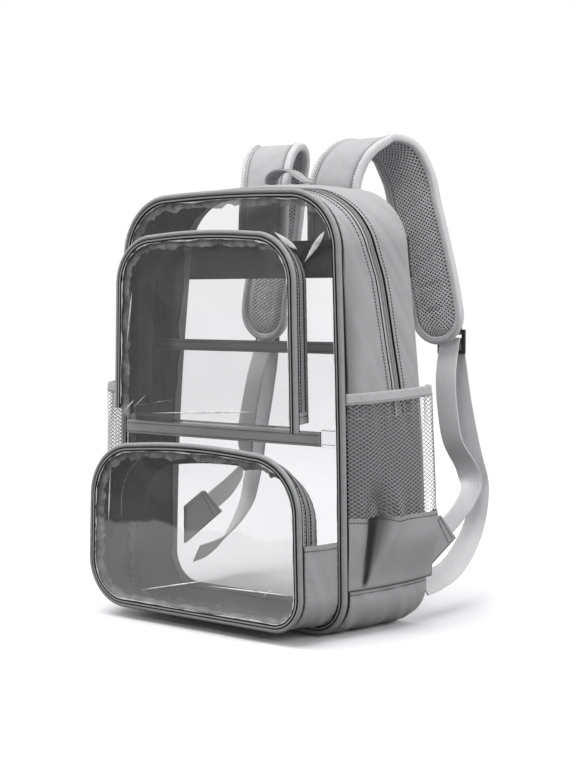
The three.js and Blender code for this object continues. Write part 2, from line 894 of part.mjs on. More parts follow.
const strapPadShape = sweep(padFrames, (_, i) => {
  const h = padHalfAt(padStations[i]);
  const low = -strapPad / 2;
  return [
    [-h, low * 0.62],
    [-h * 0.5, low],
    [h * 0.5, low],
    [h, low * 0.62],
    [h, padTop],
    [-h, padTop],
  ];
});
addPair('strap_pad', strapPadShape, MID);
const strapCoverShape = sweep(padFrames, (_, i) => {
  const h = padHalfAt(padStations[i]);
  return [
    [-h, padTop + 2 * gap],
    [h, padTop + 2 * gap],
    [h, strapPad / 2],
    [0, strapPad / 2 + 0.9],
    [-h, strapPad / 2],
  ];
});
addPair('strap_cover', strapCoverShape, LIGHT);

// The binding runs down one edge of the strap, round its tip and up the other edge.
const rimHalf = strapWidth / 2 - strapBinding / 2;
const rimPath = [
  ...bodyStations.map((s) => ({ s, w: rimHalf, ts: 1, tw: 0 })),
  ...Array.from({ length: 9 }, (_, i) => {
    const turn = (Math.PI * i) / 8;
    return {
      s: strapTip + rimHalf * Math.sin(turn),
      w: rimHalf * Math.cos(turn),
      ts: Math.cos(turn),
      tw: -Math.sin(turn),
    };
  }),
  ...[...bodyStations].reverse().map((s) => ({ s, w: -rimHalf, ts: -1, tw: 0 })),
];
const rimFrames = rimPath.map(({ s, w, ts, tw }) => {
  const f = strapFrame(s);
  const side = f.a.clone().multiplyScalar(ts).addScaledVector(f.t, -tw);
  return { p: f.p.clone().addScaledVector(f.a, w), a: side, b: f.b };
});
const rimSection = [
  [-strapBinding / 2, -strapPad * 0.3],
  [0, -strapPad * 0.58],
  [strapBinding / 2, -strapPad * 0.3],
  [strapBinding / 2, strapPad * 0.3],
  [0, strapPad * 0.58],
  [-strapBinding / 2, strapPad * 0.3],
];
addPair('strap_binding', sweep(rimFrames, () => rimSection), LIGHT);

// Adjuster: a frame with an upper bar for the strap's loop and a middle bar for the
// webbing, which rises from the tab, turns over the bar and hangs down as the tail.
const tip = strapFrame(strapLength).p;
const lockX = tip.x + 5;
const lockY = tip.y + 13;
const barZ = tip.z + 3;
const turnRadius = lockBar / 2 + 2.8 * gap + webbingThickness / 2;
const lockRise = 11.5;
const lockShape = new THREE.Shape();
lockShape.moveTo(-lockWidth / 2, -lockRise - lockBar / 2);
lockShape.lineTo(lockWidth / 2, -lockRise - lockBar / 2);
lockShape.lineTo(lockWidth / 2, lockRise + lockBar / 2);
lockShape.lineTo(-lockWidth / 2, lockRise + lockBar / 2);
lockShape.closePath();
for (const side of [-1, 1]) {
  const slot = new THREE.Path();
  const half = lockWidth / 2 - lockBar;
  const near = side * (lockBar / 2);
  const far = side * (lockRise - lockBar / 2);
  slot.moveTo(-half, near);
  slot.lineTo(half, near);
  slot.lineTo(half, far);
  slot.lineTo(-half, far);
  slot.closePath();
  lockShape.holes.push(slot);
}
const lockBlock = new THREE.ExtrudeGeometry(lockShape, {
  depth: lockBar,
  bevelEnabled: false,
});
const lockKeys = new Map();
const lockPoints = [];
const lockFaces = [];
const lockSource = lockBlock.getAttribute('position');
for (let i = 0; i < lockSource.count; i += 3) {
  const face = [0, 1, 2].map((k) => {
    const p = vec(
      lockX + lockSource.getX(i + k),
      lockY - lockBar / 2 + lockSource.getZ(i + k),
      barZ + lockSource.getY(i + k),
    );
    const key = [p.x, p.y, p.z].map((v) => v.toFixed(3)).join();
    if (!lockKeys.has(key)) {
      lockKeys.set(key, lockPoints.length);
      lockPoints.push(p);
    }
    return lockKeys.get(key);
  });
  lockFaces.push(face);
}
addPair('ladder_lock', solid(lockPoints, lockFaces), DARK);

// Webbing, from the tab up to the adjuster and down again to the hanging tail. Out is a
// share of how far the webbing strays outwards, back a share of its reach toward the
// bag, rise a share of the adjuster's height above the floor, and turn is in degrees.
const webbingUp = [
  { out: 1, back: -0.684, rise: 0.318, turn: 90 },
  { out: 1, back: -0.52, rise: 0.344, turn: 90 },
  { out: 0.971, back: -0.337, rise: 0.378, turn: 86 },
  { out: 0.941, back: -0.143, rise: 0.43, turn: 70 },
  { out: 0.882, back: -0.071, rise: 0.475, turn: 38 },
  { out: 0.765, back: -0.112, rise: 0.53, turn: 12 },
  { out: 0.471, back: -0.214, rise: 0.62, turn: 0 },
  { out: 0.235, back: -0.214, rise: 0.755, turn: 0 },
  { out: 0.103, back: -0.173, rise: 0.86, turn: 0 },
  { out: 0.029, back: -0.092, rise: 0.95, turn: 0 },
];
const webbingDown = [
  { out: 0.029, back: 0.066, rise: 0.95, turn: 0 },
  { out: 0.294, back: 0.071, rise: 0.757, turn: 0 },
  { out: 0.618, back: 0.082, rise: 0.585, turn: 0 },
  { out: 0.853, back: 0.112, rise: 0.465, turn: 0 },
  { out: 0.912, back: 0.071, rise: 0.39, turn: 0 },
  { out: 0.912, back: -0.01, rise: 0.31, turn: -6 },
  { out: 0.912, back: -0.194, rise: 0.232, turn: -20 },
  { out: 0.882, back: -0.469, rise: 0.162, turn: -40 },
  { out: 0.824, back: -0.755, rise: 0.133, turn: -55 },
  { out: 0.794, back: -1, rise: 0.124, turn: -58 },
];
const leg = (row) => ({
  x: lockX + row.out * webbingStray,
  y: lockY + row.back * webbingReach,
  z: barZ * row.rise,
  turn: row.turn,
});
const around = (x, z, rise) => [-90, -45, 0, 45, 90].map((turn) => {
  const angle = THREE.MathUtils.degToRad(turn);
  return {
    x,
    y: lockY + turnRadius * Math.sin(angle),
    z: z + rise * turnRadius * Math.cos(angle),
    turn: 0,
  };
});
const webbingRows = [
  ...webbingUp.map(leg),
  ...around(lockX, barZ, 1),
  ...webbingDown.map(leg),
];
const webbingFrames = framesAlong(webbingRows, Math.round(1.6 * (webbingRows.length - 1)));
addPair('webbing', sweep(
  webbingFrames,
  () => flatSection(webbingWidth, webbingThickness),
), LIGHT);

// The loop that holds the adjuster to the outer face of the strap.
const loopNear = strapFrame(strapLength - strapWidth * 0.62);
const loopOff = strapPad * 0.58 + 1.2 + webbingThickness / 2;
const loopStart = loopNear.p.clone().addScaledVector(loopNear.b, loopOff);
const topBarZ = barZ + lockRise;
const loopRows = [
  { x: loopStart.x + 1, y: loopStart.y, z: loopStart.z, turn: 0 },
  { x: mix(loopStart.x, lockX, 0.6), y: lockY - turnRadius, z: topBarZ + 8, turn: 0 },
  ...around(lockX, topBarZ, -1),
  { x: mix(loopStart.x, lockX, 0.6), y: lockY + turnRadius - 1, z: topBarZ + 8, turn: 0 },
  { x: loopStart.x + 1, y: loopStart.y + webbingThickness + 2 * gap, z: loopStart.z, turn: 0 },
];
addPair('lock_loop', sweep(
  framesAlong(loopRows, 14),
  () => flatSection(webbingWidth - 1, webbingThickness),
), LIGHT);

// Tabs at the back seam near the floor: cloth folded double round the webbing's end,
// standing on edge, with a slanted mouth.
const webbingStart = webbingFrames[0];
const tabEnd = webbingStart.p.clone().addScaledVector(webbingStart.t, 5);
const tabRoot = bodyDepth + clearThickness + 4;
function tabPoint(along, side, ply) {
  const end = tabEnd.clone()
    .addScaledVector(webbingStart.a, side * tabWidth * 0.5)
    .addScaledVector(webbingStart.t, side * tabSlant);
  const root = end.clone()
    .addScaledVector(webbingStart.t, -(end.y - tabRoot) / webbingStart.t.y);
  const off = webbingThickness / 2 + gap + tabPly;
  return root.lerp(end, along).addScaledVector(webbingStart.b, ply * off);
}
const tabPlan = [
  { along: 1, ply: 1 },
  { along: 0.5, ply: 1 },
  { along: 0.04, ply: 1 },
  { along: 0, ply: 0.4 },
  { along: 0, ply: -0.4 },
  { along: 0.04, ply: -1 },
  { along: 0.5, ply: -1 },
  { along: 1, ply: -1 },
];
const tabRows = tabPlan.map(({ along, ply }) => [-1, 1].map((side) => ({
  p: tabPoint(along, side, ply),
  n: vec(0, 0, 0),
})));
tabRows.forEach((row, i) => row.forEach((k) => {
  const { along, ply } = tabPlan[i];
  const behind = along < 0.02 ? -1 : 0;
  k.n.addScaledVector(webbingStart.b, behind ? ply : Math.sign(ply));
  k.n.addScaledVector(webbingStart.t, behind).normalize();
}));
addPair('strap_tab', sheet(tabRows, tabPly), MID);

// Carrying loop and sliders

const handleY = bodyDepth * 0.87;
const headFlat = halfBody - headNarrowing - headCorner;
const topAt = (x) => body.at(HALF - (COUNT.across * x) / headFlat, 0.87).p.z;
const handlePlan = [
  { across: -0.5, up: 0 },
  { across: -0.48, up: 0.45 },
  { across: -0.3, up: 0.86 },
  { across: 0, up: 1 },
  { across: 0.3, up: 0.9 },
  { across: 0.58, up: 0.5 },
  { across: 0.8, up: 0.2 },
  { across: 0.96, up: 0.06 },
];
const handleCurve = new THREE.CatmullRomCurve3(handlePlan.map(({ across, up }) => vec(
  across * handleSpan,
  handleY,
  topAt(across * handleSpan) + webbingThickness * 0.65 + gap + up * handleRise,
)));
const handleFrames = Array.from({ length: 15 }, (_, i) => {
  const tangent = handleCurve.getTangent(i / 14);
  const a = vec(0, 1, 0);
  return { p: handleCurve.getPoint(i / 14), a, b: a.clone().cross(tangent).normalize() };
});
add('top_handle', sweep(
  handleFrames,
  () => flatSection(handleWidth, webbingThickness * 1.3),
), MID);

// A slider over a zipper coil with a pull lying along the zipper.
function slider(w, u, share, pullLength) {
  const { p, n, d } = w.at(u, share);
  const along = d.clone().cross(n).normalize();
  if (along.z > 0) along.negate();
  const lift = coilHeight + gap - clothThickness * 0.6 + 1.4;
  const centre = p.clone().addScaledVector(n, lift);
  const place = (run, width, height) => ({
    p: centre.clone().addScaledVector(along, run),
    a: d,
    b: n,
    width,
    height,
  });
  const bodyFrames = [
    place(-5, 5, 2.4),
    place(-2, 8.5, 2.8),
    place(3, 8.5, 2.8),
    place(5, 6, 2.4),
  ];
  const section = (frames) => (_, i) => flatSection(frames[i].width, frames[i].height);
  const shell = sweep(bodyFrames, section(bodyFrames));
  const pullFrames = [
    place(5.4, 3, 1.6),
    place(9, 4, 1.6),
    place(pullLength * 0.5, 6.4, 1.8),
    place(pullLength, 7.4, 1.8),
    place(pullLength + 3, 4.6, 1.6),
  ];
  const pull = sweep(pullFrames, section(pullFrames));
  return { shell, pull };
}
const upperSlide = slider(upperWall, FULL - sideAt(upperFace, upperZipFoot + 6), upperZipShare, 24);
add('upper_slider', upperSlide.shell, METAL);
add('upper_slider_pull', upperSlide.pull, METAL);
const lowerSlide = slider(lowerWall, FULL - sideAt(lowerFace, lowerZipFoot + 9), lowerZipShare, 26);
add('lower_slider', lowerSlide.shell, METAL);
add('lower_slider_pull', lowerSlide.pull, METAL);
const mainU = FULL - sideAt(frontOutline, pocketTop + 34);
const mainSlide = slider(body, mainU, zipShare(mainU), 26);
add('main_slider', mainSlide.shell, METAL);
add('main_slider_pull', mainSlide.pull, METAL);

const box = new THREE.Box3().setFromObject(backpack);
const centre = box.getCenter(vec(0, 0, 0));
backpack.position.set(-centre.x, -centre.y, -box.min.z);
backpack.updateMatrixWorld(true);

export default backpack;
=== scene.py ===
"""Looks of a clear backpack with grey cloth walls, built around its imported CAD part.

Lengths are millimetres in the bag's own frame until place() turns them into metres:
x to the right seen from the front, y from the front seam to the back, z up from the floor.
"""
import math

import bpy
import numpy as np
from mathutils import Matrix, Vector


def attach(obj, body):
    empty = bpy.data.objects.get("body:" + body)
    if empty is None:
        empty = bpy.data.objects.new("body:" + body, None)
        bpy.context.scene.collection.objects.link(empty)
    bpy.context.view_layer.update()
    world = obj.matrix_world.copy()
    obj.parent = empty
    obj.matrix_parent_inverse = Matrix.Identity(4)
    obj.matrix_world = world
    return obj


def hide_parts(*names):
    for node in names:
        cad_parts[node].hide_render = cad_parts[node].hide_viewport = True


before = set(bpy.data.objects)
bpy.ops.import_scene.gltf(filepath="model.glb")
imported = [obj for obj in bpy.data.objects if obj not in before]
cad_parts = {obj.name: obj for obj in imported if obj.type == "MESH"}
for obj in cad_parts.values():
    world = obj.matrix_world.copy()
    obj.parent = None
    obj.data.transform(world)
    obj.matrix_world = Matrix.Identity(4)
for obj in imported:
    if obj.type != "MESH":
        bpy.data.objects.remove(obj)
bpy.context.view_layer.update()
# The middle of the whole bag's depth lies this far behind its front seam.
SHIFT = np.array([0, -89.104, 0])


def place(p):
    """Millimetres in the bag's own frame to metres in the scene."""
    return (np.asarray(p, float) + SHIFT) / 1000


# Camera, light and floor

cam = bpy.data.objects.new("camera", bpy.data.cameras.new("camera"))
bpy.context.scene.collection.objects.link(cam)
cam.location = place((987.53, -1161.99, 329.56))
cam.rotation_euler = (math.radians(86.8), 0, math.radians(38))
cam.data.lens = 69.75
cam.data.sensor_width = 36
cam.data.clip_start = 0.05
bpy.context.scene.camera = cam
bpy.context.scene.view_settings.view_transform = "Standard"

world = bpy.data.worlds.new("studio")
bpy.context.scene.world = world
world.use_nodes = True
sky = world.node_tree
sky.nodes["Background"].inputs["Color"].default_value = (1, 1, 1, 1)
ray = sky.nodes.new("ShaderNodeLightPath")
seen = sky.nodes.new("ShaderNodeMapRange")
seen.inputs["To Min"].default_value = 0.42
seen.inputs["To Max"].default_value = 1.0
sky.links.new(ray.outputs["Is Camera Ray"], seen.inputs["Value"])
sky.links.new(seen.outputs[0], sky.nodes["Background"].inputs["Strength"])


def lamp(name, kind, at, aim, energy, **settings):
    data = bpy.data.lights.new(name, kind)
    data.energy = energy
    for key, value in settings.items():
        setattr(data, key, value)
    obj = bpy.data.objects.new(name, data)
    bpy.context.scene.collection.objects.link(obj)
    obj.location = at
    obj.rotation_euler = (Vector(aim) - obj.location).to_track_quat("-Z", "Y").to_euler()


lamp("sun_above", "SUN", (-0.25, -0.45, 2), (0, 0, 0), 2.3, angle=math.radians(50))
lamp("lamp_right", "AREA", (1.7, 0.3, 0.9), (0.1, 0, 0.3), 12, size=0.7)
lamp("strip_left", "AREA", (-1.75, -0.35, 0.8), (0, 0, 0.25), 9, shape="RECTANGLE", size=0.16,
     size_y=1.3)
lamp("strip_front", "AREA", (0.35, -1.7, 1.15), (0, 0, 0.3), 5, shape="RECTANGLE", size=0.9,
     size_y=0.12)


# Material nodes

# One band of a weave for each unit of its period.
WAVE_SCALE = 0.31416


class Nodes:
    """A small helper that makes shader nodes and links them."""

    def __init__(self, name):
        self.material = bpy.data.materials.new(name)
        self.material.use_nodes = True
        self.tree = self.material.node_tree
        self.tree.nodes.clear()
        self.out = self.tree.nodes.new("ShaderNodeOutputMaterial")

    def add(self, kind, inputs=None, **settings):
        n = self.tree.nodes.new("ShaderNode" + kind)
        for key, value in settings.items():
            setattr(n, key, value)
        for key, value in (inputs or {}).items():
            self.set(n.inputs[key], value)
        return n

    def set(self, socket, value):
        if isinstance(value, bpy.types.Node):
            value = value.outputs[0]
        if isinstance(value, bpy.types.NodeSocket):
            self.tree.links.new(value, socket)
        else:
            socket.default_value = value

    def math(self, operation, a, b=0.0, c=0.0):
        n = self.add("Math", operation=operation)
        for i, value in enumerate((a, b, c)):
            self.set(n.inputs[i], value)
        return n.outputs[0]

    def ramp(self, fac, stops):
        n = self.add("ValToRGB", {"Fac": fac})
        for i, (at, value) in enumerate(stops):
            n.color_ramp.elements[i].position = at
            n.color_ramp.elements[i].color = (value, value, value, 1)
        return n.outputs["Color"]

    def mix(self, fac, a, b, blend="MIX"):
        n = self.add("Mix", data_type="RGBA", blend_type=blend)
        self.set(n.inputs["Factor"], fac)
        self.set(n.inputs[6], a)
        self.set(n.inputs[7], b)
        return n.outputs[2]

    def blend(self, fac, first, second):
        """Two shaders mixed; the factor is the second's share."""
        n = self.add("MixShader", {"Fac": fac})
        self.set(n.inputs[1], first)
        self.set(n.inputs[2], second)
        return n.outputs[0]

    def tinted(self, tone, value):
        return self.mix(1.0, grey(tone), value, "MULTIPLY")

    def uv(self, scale=(1, 1, 1), turn=0.0):
        n = self.add("UVMap", uv_map="mm")
        return self.add("Mapping", {
            "Vector": n, "Scale": scale, "Rotation": (0, 0, math.radians(turn)),
        }).outputs[0]

    def noise(self, scale, detail=3.0, vector=None, rough=0.5):
        if vector is None:
            vector = self.add("TexCoord").outputs["Object"]
        return self.add("TexNoise", {
            "Vector": vector, "Scale": scale, "Detail": detail, "Roughness": rough,
        }).outputs["Fac"]

    def bands(self, vector, period, direction="X", warp=0.0):
        return self.add("TexWave", {
            "Vector": vector, "Scale": WAVE_SCALE / period, "Distortion": warp,
        }, bands_direction=direction).outputs["Fac"]

    def bump(self, height, strength, distance, normal=None):
        inputs = {"Height": height, "Strength": strength, "Distance": distance}
        if normal is not None:
            inputs["Normal"] = normal
        return self.add("Bump", inputs).outputs[0]

    def surface(self, **inputs):
        names = {"color": "Base Color", "rough": "Roughness", "normal": "Normal",
                 "metal": "Metallic", "sheen": "Sheen Weight",
                 "sheen_rough": "Sheen Roughness", "specular": "Specular IOR Level"}
        return self.add("BsdfPrincipled", {
            names[k]: v for k, v in inputs.items()}).outputs[0]

    def done(self, shader):
        self.tree.links.new(shader, self.out.inputs["Surface"])
        return self.material


def grey(v):
    return (v, v, v * 1.02, 1)


def cloth_material(name, tone, pitch=0.75, bump=0.25, sheen=0.12, mottle=0.10):
    """Coated plain-weave cloth: crossing threads, slubs, faint mottling and creases, darkened by
    painted shade stored on its points.
    """
    slub, rough = 0.06, 0.82
    n = Nodes(name)
    warp = n.bands(n.uv(), pitch, "X", 0.4)
    weft = n.bands(n.uv(), pitch, "Y", 0.4)
    weave = n.math("MULTIPLY", warp, weft)
    patches = n.noise(38, 5)
    fine = n.noise(620, 2)
    streak = n.noise(0.9, 2, n.uv((0.12, 1.6, 1)))
    value = n.math("MULTIPLY_ADD", patches, mottle * 2, 1 - mottle)
    value = n.math("MULTIPLY_ADD", fine, slub * 2, n.math("SUBTRACT", value, slub))
    value = n.math("MULTIPLY_ADD", streak, slub, n.math("SUBTRACT", value, slub / 2))
    value = n.math("MULTIPLY_ADD", weave, 0.16, n.math("SUBTRACT", value, 0.05))
    # Painted shade: a point attribute from 0 to 1 darkens the colour by up to 97 percent.
    edge = n.add("Attribute", attribute_name="painted_shade").outputs["Fac"]
    value = n.math("MULTIPLY", value, n.math("MULTIPLY_ADD", edge, -0.97, 1.0))
    creases = n.bump(n.noise(24, 3), 0.25, 0.0035)
    normal = n.bump(n.math("MULTIPLY_ADD", fine, 0.4, weave), bump, 0.00025, creases)
    return n.done(n.surface(
        color=n.tinted(tone, value), rough=n.math("MULTIPLY_ADD", patches, 0.16, rough - 0.08),
        normal=normal, sheen=sheen, sheen_rough=0.45, specular=0.32,
    ))


def piping_material(name, tone):
    """Twill pulled over a cord: slanting ribs with small puckers."""
    n = Nodes(name)
    twill = n.bands(n.uv(turn=52), 0.9, warp=0.5)
    pucker = n.noise(1.0, 2, n.uv((0.16, 0.05, 1)))
    value = n.math("MULTIPLY_ADD", twill, 0.12, 0.86)
    value = n.math("MULTIPLY_ADD", pucker, 0.3, n.math("SUBTRACT", value, 0.13))
    normal = n.bump(pucker, 0.4, 0.0012, n.bump(twill, 0.3, 0.0003))
    return n.done(n.surface(
        color=n.tinted(tone, value), rough=0.62, normal=normal, sheen=0.08, specular=0.4,
    ))


def webbing_material(name, tone, rib=1.55):
    """Woven webbing: ribs along it, small chevrons across and firm edges."""
    n = Nodes(name)
    ribs = n.bands(n.uv(), rib, "Y")
    left = n.bands(n.uv(turn=38), 1.1)
    right = n.bands(n.uv(turn=-38), 1.1)
    pick = n.mix(n.math("GREATER_THAN", ribs, 0.5), left, right)
    patches = n.noise(60, 4)
    value = n.math("MULTIPLY_ADD", ribs, 0.12, 0.84)
    value = n.math("MULTIPLY_ADD", pick, 0.1, value)
    value = n.math("MULTIPLY_ADD", patches, 0.12, n.math("SUBTRACT", value, 0.08))
    normal = n.bump(pick, 0.25, 0.0003, n.bump(ribs, 0.45, 0.0005))
    return n.done(n.surface(
        color=n.tinted(tone, value), rough=0.7, normal=normal, sheen=0.15, specular=0.35,
    ))


def air_mesh_material(name, tone, hole_shade, pitch):
    """Spacer mesh: slanting rows of diamond holes between light threads; the holes' dark colour is
    painted shade.
    """
    n = Nodes(name)
    rows = [n.math("POWER", n.bands(n.uv((1.25, 1, 1), 45), pitch * 0.72, axis), 2.0)
            for axis in "XY"]
    net = n.math("MAXIMUM", *rows)
    mask = n.ramp(net, [(0.14, 0.0), (0.42, 1.0)])
    fibre = n.noise(1500, 2)
    patches = n.noise(45, 3)
    light = n.tinted(tone, n.math("MULTIPLY_ADD", fibre, 0.5, 0.72))
    light = n.mix(1.0, light, n.math("MULTIPLY_ADD", patches, 0.3, 0.85), "MULTIPLY")
    # The holes are painted dark: painted shade for their depth.
    color = n.mix(mask, grey(hole_shade), light)
    normal = n.bump(n.math("ADD", net, n.math("MULTIPLY", fibre, 0.2)), 0.8, 0.0012)
    return n.done(n.surface(color=color, rough=0.9, normal=normal, sheen=0.1, specular=0.2))


def thread_material(name, tone):
    """Twisted thread."""
    n = Nodes(name)
    twist = n.bands(n.uv(turn=35), 0.5)
    color = n.tinted(tone, n.math("MULTIPLY_ADD", twist, 0.3, 0.8))
    return n.done(n.surface(color=color, rough=0.6, normal=n.bump(twist, 0.4, 0.0002)))


def film_material(name, floor_reflection_to=None):
    """Soft clear sheet: glossy with the view's slant, faintly hazy, with low ripples.

    Below a given height in mm the sheet is painted milkier, a painted reflection of the floor, with a
    wavering upper edge."""
    tint, veil = 0.995, 0.03
    n = Nodes(name)
    ripple = n.bump(n.noise(14, 2, rough=0.4), 0.1, 0.002)
    slant = n.add("LayerWeight", {"Blend": 0.5, "Normal": ripple}).outputs["Facing"]
    fresnel = n.math("MULTIPLY_ADD", n.math("POWER", slant, 3.6), 0.7, 0.022)
    haze = n.math("MULTIPLY_ADD", n.noise(9, 4), veil, veil * 0.1)
    # Painted reflection of the floor: thicker milky haze below the given height.
    if floor_reflection_to:
        where = n.add("SeparateXYZ", {"Vector": n.add("TexCoord").outputs["Object"]})
        high = n.math("MULTIPLY_ADD", where.outputs["Z"], 1000.0, n.math(
            "MULTIPLY", n.noise(22, 3), 26.0))
        below = n.ramp(n.math("MULTIPLY_ADD", high, -0.22, floor_reflection_to * 0.22 + 0.5),
                       [(0.0, 0.0), (1.0, 1.0)])
        haze = n.math("MULTIPLY_ADD", below, 0.11, haze)
    gloss = n.add("BsdfGlossy", {
        "Color": (1, 1, 1, 1), "Roughness": 0.07, "Normal": ripple,
    }).outputs[0]
    milky = n.surface(color=(0.98, 0.98, 0.98, 1), rough=0.25, normal=ripple)
    clear = n.add("BsdfTransparent", {"Color": (tint, tint, tint, 1)}).outputs[0]
    return n.done(n.blend(fresnel, n.blend(haze, clear, milky), gloss))


def crease_glint_material(name):
    """Painted glint: clear film painted white in patches, standing for light caught where the film is
    drawn tight or folded.
    """
    n = Nodes(name)
    breaks = n.noise(90, 3)
    clear = n.add("BsdfTransparent").outputs[0]
    solid = n.surface(color=(0.95, 0.95, 0.96, 1), rough=0.18, specular=0.6,
                      normal=n.bump(breaks, 0.2, 0.001))
    return n.done(n.blend(n.ramp(breaks, [(0.3, 0.45), (0.5, 1.0)]), clear, solid))


def allowance_material(name, tone):
    """Pinked film turned under at a seam: half clear, greyed by its folds."""
    n = Nodes(name)
    folds = n.noise(70, 3)
    clear = n.add("BsdfTransparent", {"Color": (0.93, 0.93, 0.93, 1)}).outputs[0]
    color = n.mix(n.ramp(folds, [(0.4, 0.0), (0.62, 1.0)]), grey(tone * 0.7), grey(tone * 1.5))
    solid = n.surface(color=color, rough=0.35, normal=n.bump(folds, 0.5, 0.002))
    return n.done(n.blend(n.math("MULTIPLY_ADD", folds, 0.5, 0.3), clear, solid))


def metal_material(name, tone):
    """Worn grey metal."""
    n = Nodes(name)
    wear = n.noise(900, 4)
    rough = n.math("MULTIPLY_ADD", wear, 0.3, 0.22)
    color = n.mix(n.ramp(wear, [(0.5, 0.0), (0.75, 1.0)]), grey(tone), grey(tone * 1.8))
    return n.done(n.surface(
        color=color, rough=rough, metal=0.8, normal=n.bump(wear, 0.12, 0.0002),
    ))


def plastic_material(name, tone):
    """Dark moulded plastic with scuffs."""
    n = Nodes(name)
    grain = n.noise(1400, 3)
    scuff = n.noise(90, 4)
    color = n.mix(scuff, grey(tone * 0.85), grey(tone * 1.3))
    return n.done(n.surface(
        color=color, rough=n.math("MULTIPLY_ADD", scuff, 0.25, 0.32),
        normal=n.bump(grain, 0.15, 0.0002),
    ))


MAT = {
    "cloth": cloth_material("grey_cloth", 0.46),
    "pocket_cloth": cloth_material("grey_pocket_cloth", 0.43),
    "trim": cloth_material("mid_grey_trim", 0.42),
    # Dark cloth for the inner faces of the walls: its low tone is painted shade for the inside of the
    # bag.
    "inner_shade_cloth": cloth_material("inner_shade_cloth", 0.13, sheen=0.0, mottle=0.4),
    "lining_light": cloth_material("light_lining", 0.24, sheen=0.0),
    # Near-black cloth for the strap anchor band: its darkness is painted shade, as the band lies in
    # the bag's shadow.
    "band_painted_shade": cloth_material("band_painted_shade", 0.05, sheen=0.0),
    "light_cloth": cloth_material("strap_cloth", 0.52),
    "piping": piping_material("piping_cloth", 0.40),
    # Near-black cloth for the dark lines in gaps beside seams: painted shade for those crevices.
    "painted_groove_shade": cloth_material("seam_shade", 0.006, sheen=0.0),
    "tape": cloth_material("zipper_tape", 0.62, pitch=1.1, bump=0.5),
    "coil": thread_material("zipper_coil", 0.26),
    "elastic": webbing_material("elastic_binding", 0.62, 1.1),
    "binding": cloth_material("strap_binding", 0.72, pitch=0.6),
    "webbing": webbing_material("strap_webbing", 0.86),
    "air_mesh": air_mesh_material("air_mesh", 0.87, 0.07, 5.2),
    "net": thread_material("net_thread", 0.5),
    "thread": thread_material("thread", 0.07),
    "thread_light": thread_material("light_thread", 0.25),
    "film": film_material("clear_film"),
    # The lower pocket's film, with a painted reflection of the floor below 116 mm.
    "film_low": film_material("clear_film_low", 116),
    # Painted glint: whitened film for the glint lines and leaf-shaped glints.
    "crease": crease_glint_material("film_crease_glint"),
    "allowance": allowance_material("seam_allowance", 0.38),
    "metal": metal_material("slider_metal", 0.11),
    "plastic": plastic_material("lock_plastic", 0.03),
}


# Mesh helpers

def ripple(s, seed, wave=30.0):
    """A smooth wavering number about 0 along s, the same on every run."""
    s = np.asarray(s, float) * (2 * np.pi / wave)
    return (np.sin(s + seed) + 0.6 * np.sin(s * 1.73 + 2.1 * seed + 1)
            + 0.4 * np.sin(s * 2.61 + 3.7 * seed + 2)) / 1.6


def unit(v):
    return v / (np.linalg.norm(v, axis=-1, keepdims=True) + 1e-12)


def distance_along(p):
    """The distance run at each point of a line of points."""
    return np.concatenate([[0], np.cumsum(np.linalg.norm(np.diff(p, axis=0), axis=1))])


def read_at(at, run, rows):
    """Rows of three numbers, known at the distances run, read at other distances."""
    return np.stack([np.interp(at, run, rows[:, i]) for i in range(3)], axis=-1)


def facing(shape, y=-1.0):
    """Normals toward the front (or the back, with y=1) for a grid of points."""
    return np.tile((0.0, y, 0.0), tuple(shape) + (1,))


def arc(p, axis):
    """Distance run along one axis of a grid of points, averaged over the other."""
    step = np.linalg.norm(np.diff(p, axis=axis), axis=2)
    run = np.cumsum(step.mean(axis=1 - axis))
    return np.concatenate([[0], run])


def build(name, parts, replaces=()):
    """One piece from parts of (points in mm, faces, corner uv in mm, materials, painted shade)."""
    points, faces, uvs, mats, seams, used = [], [], [], [], [], []
    start = 0
    for p, f, uv, m, painted_shade in parts:
        points.append(np.asarray(p, float).reshape(-1, 3))
        faces += [tuple(int(v) + start for v in face) for face in f]
        uvs += [c for corners in uv for c in corners]
        for key in (m if isinstance(m, list) else [m] * len(f)):
            if key not in used:
                used.append(key)
            mats.append(used.index(key))
        # Each part's painted shade, one number per point, zero where it has none.
        seams.append(np.zeros(len(points[-1])) if painted_shade is None else np.ravel(painted_shade))
        start += len(points[-1])
    mesh = bpy.data.meshes.new(name)
    mesh.from_pydata(place(np.concatenate(points)).tolist(), [], faces)
    mesh.uv_layers.new(name="mm").data.foreach_set("uv", np.ravel(np.array(uvs, float)))
    for key in used:
        mesh.materials.append(MAT[key])
    mesh.polygons.foreach_set("material_index", np.array(mats, np.int32))
    # The point attribute made here holds the painted shade that cloth colours are darkened by.
    layer = mesh.attributes.new("painted_shade", "FLOAT", "POINT")
    layer.data.foreach_set("value", np.concatenate(seams).astype(np.float32))
    mesh.shade_smooth()
    mesh.set_sharp_from_angle(angle=math.radians(40))
    obj = bpy.data.objects.new(name, mesh)
    bpy.context.scene.collection.objects.link(obj)
    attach(obj, "root")
    if replaces:
        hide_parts(*replaces)


def turned(parts, flip=False):
    """Parts with their faces turned over, or mirrored across the middle plane."""
    out = []
    for p, f, uv, m, painted_shade in parts:
        p = np.array(p, float).reshape(-1, 3)
        if flip:
            p = p * (-1, 1, 1)
        out.append((p, [face[::-1] for face in f], [c[::-1] for c in uv], m, painted_shade))
    return out


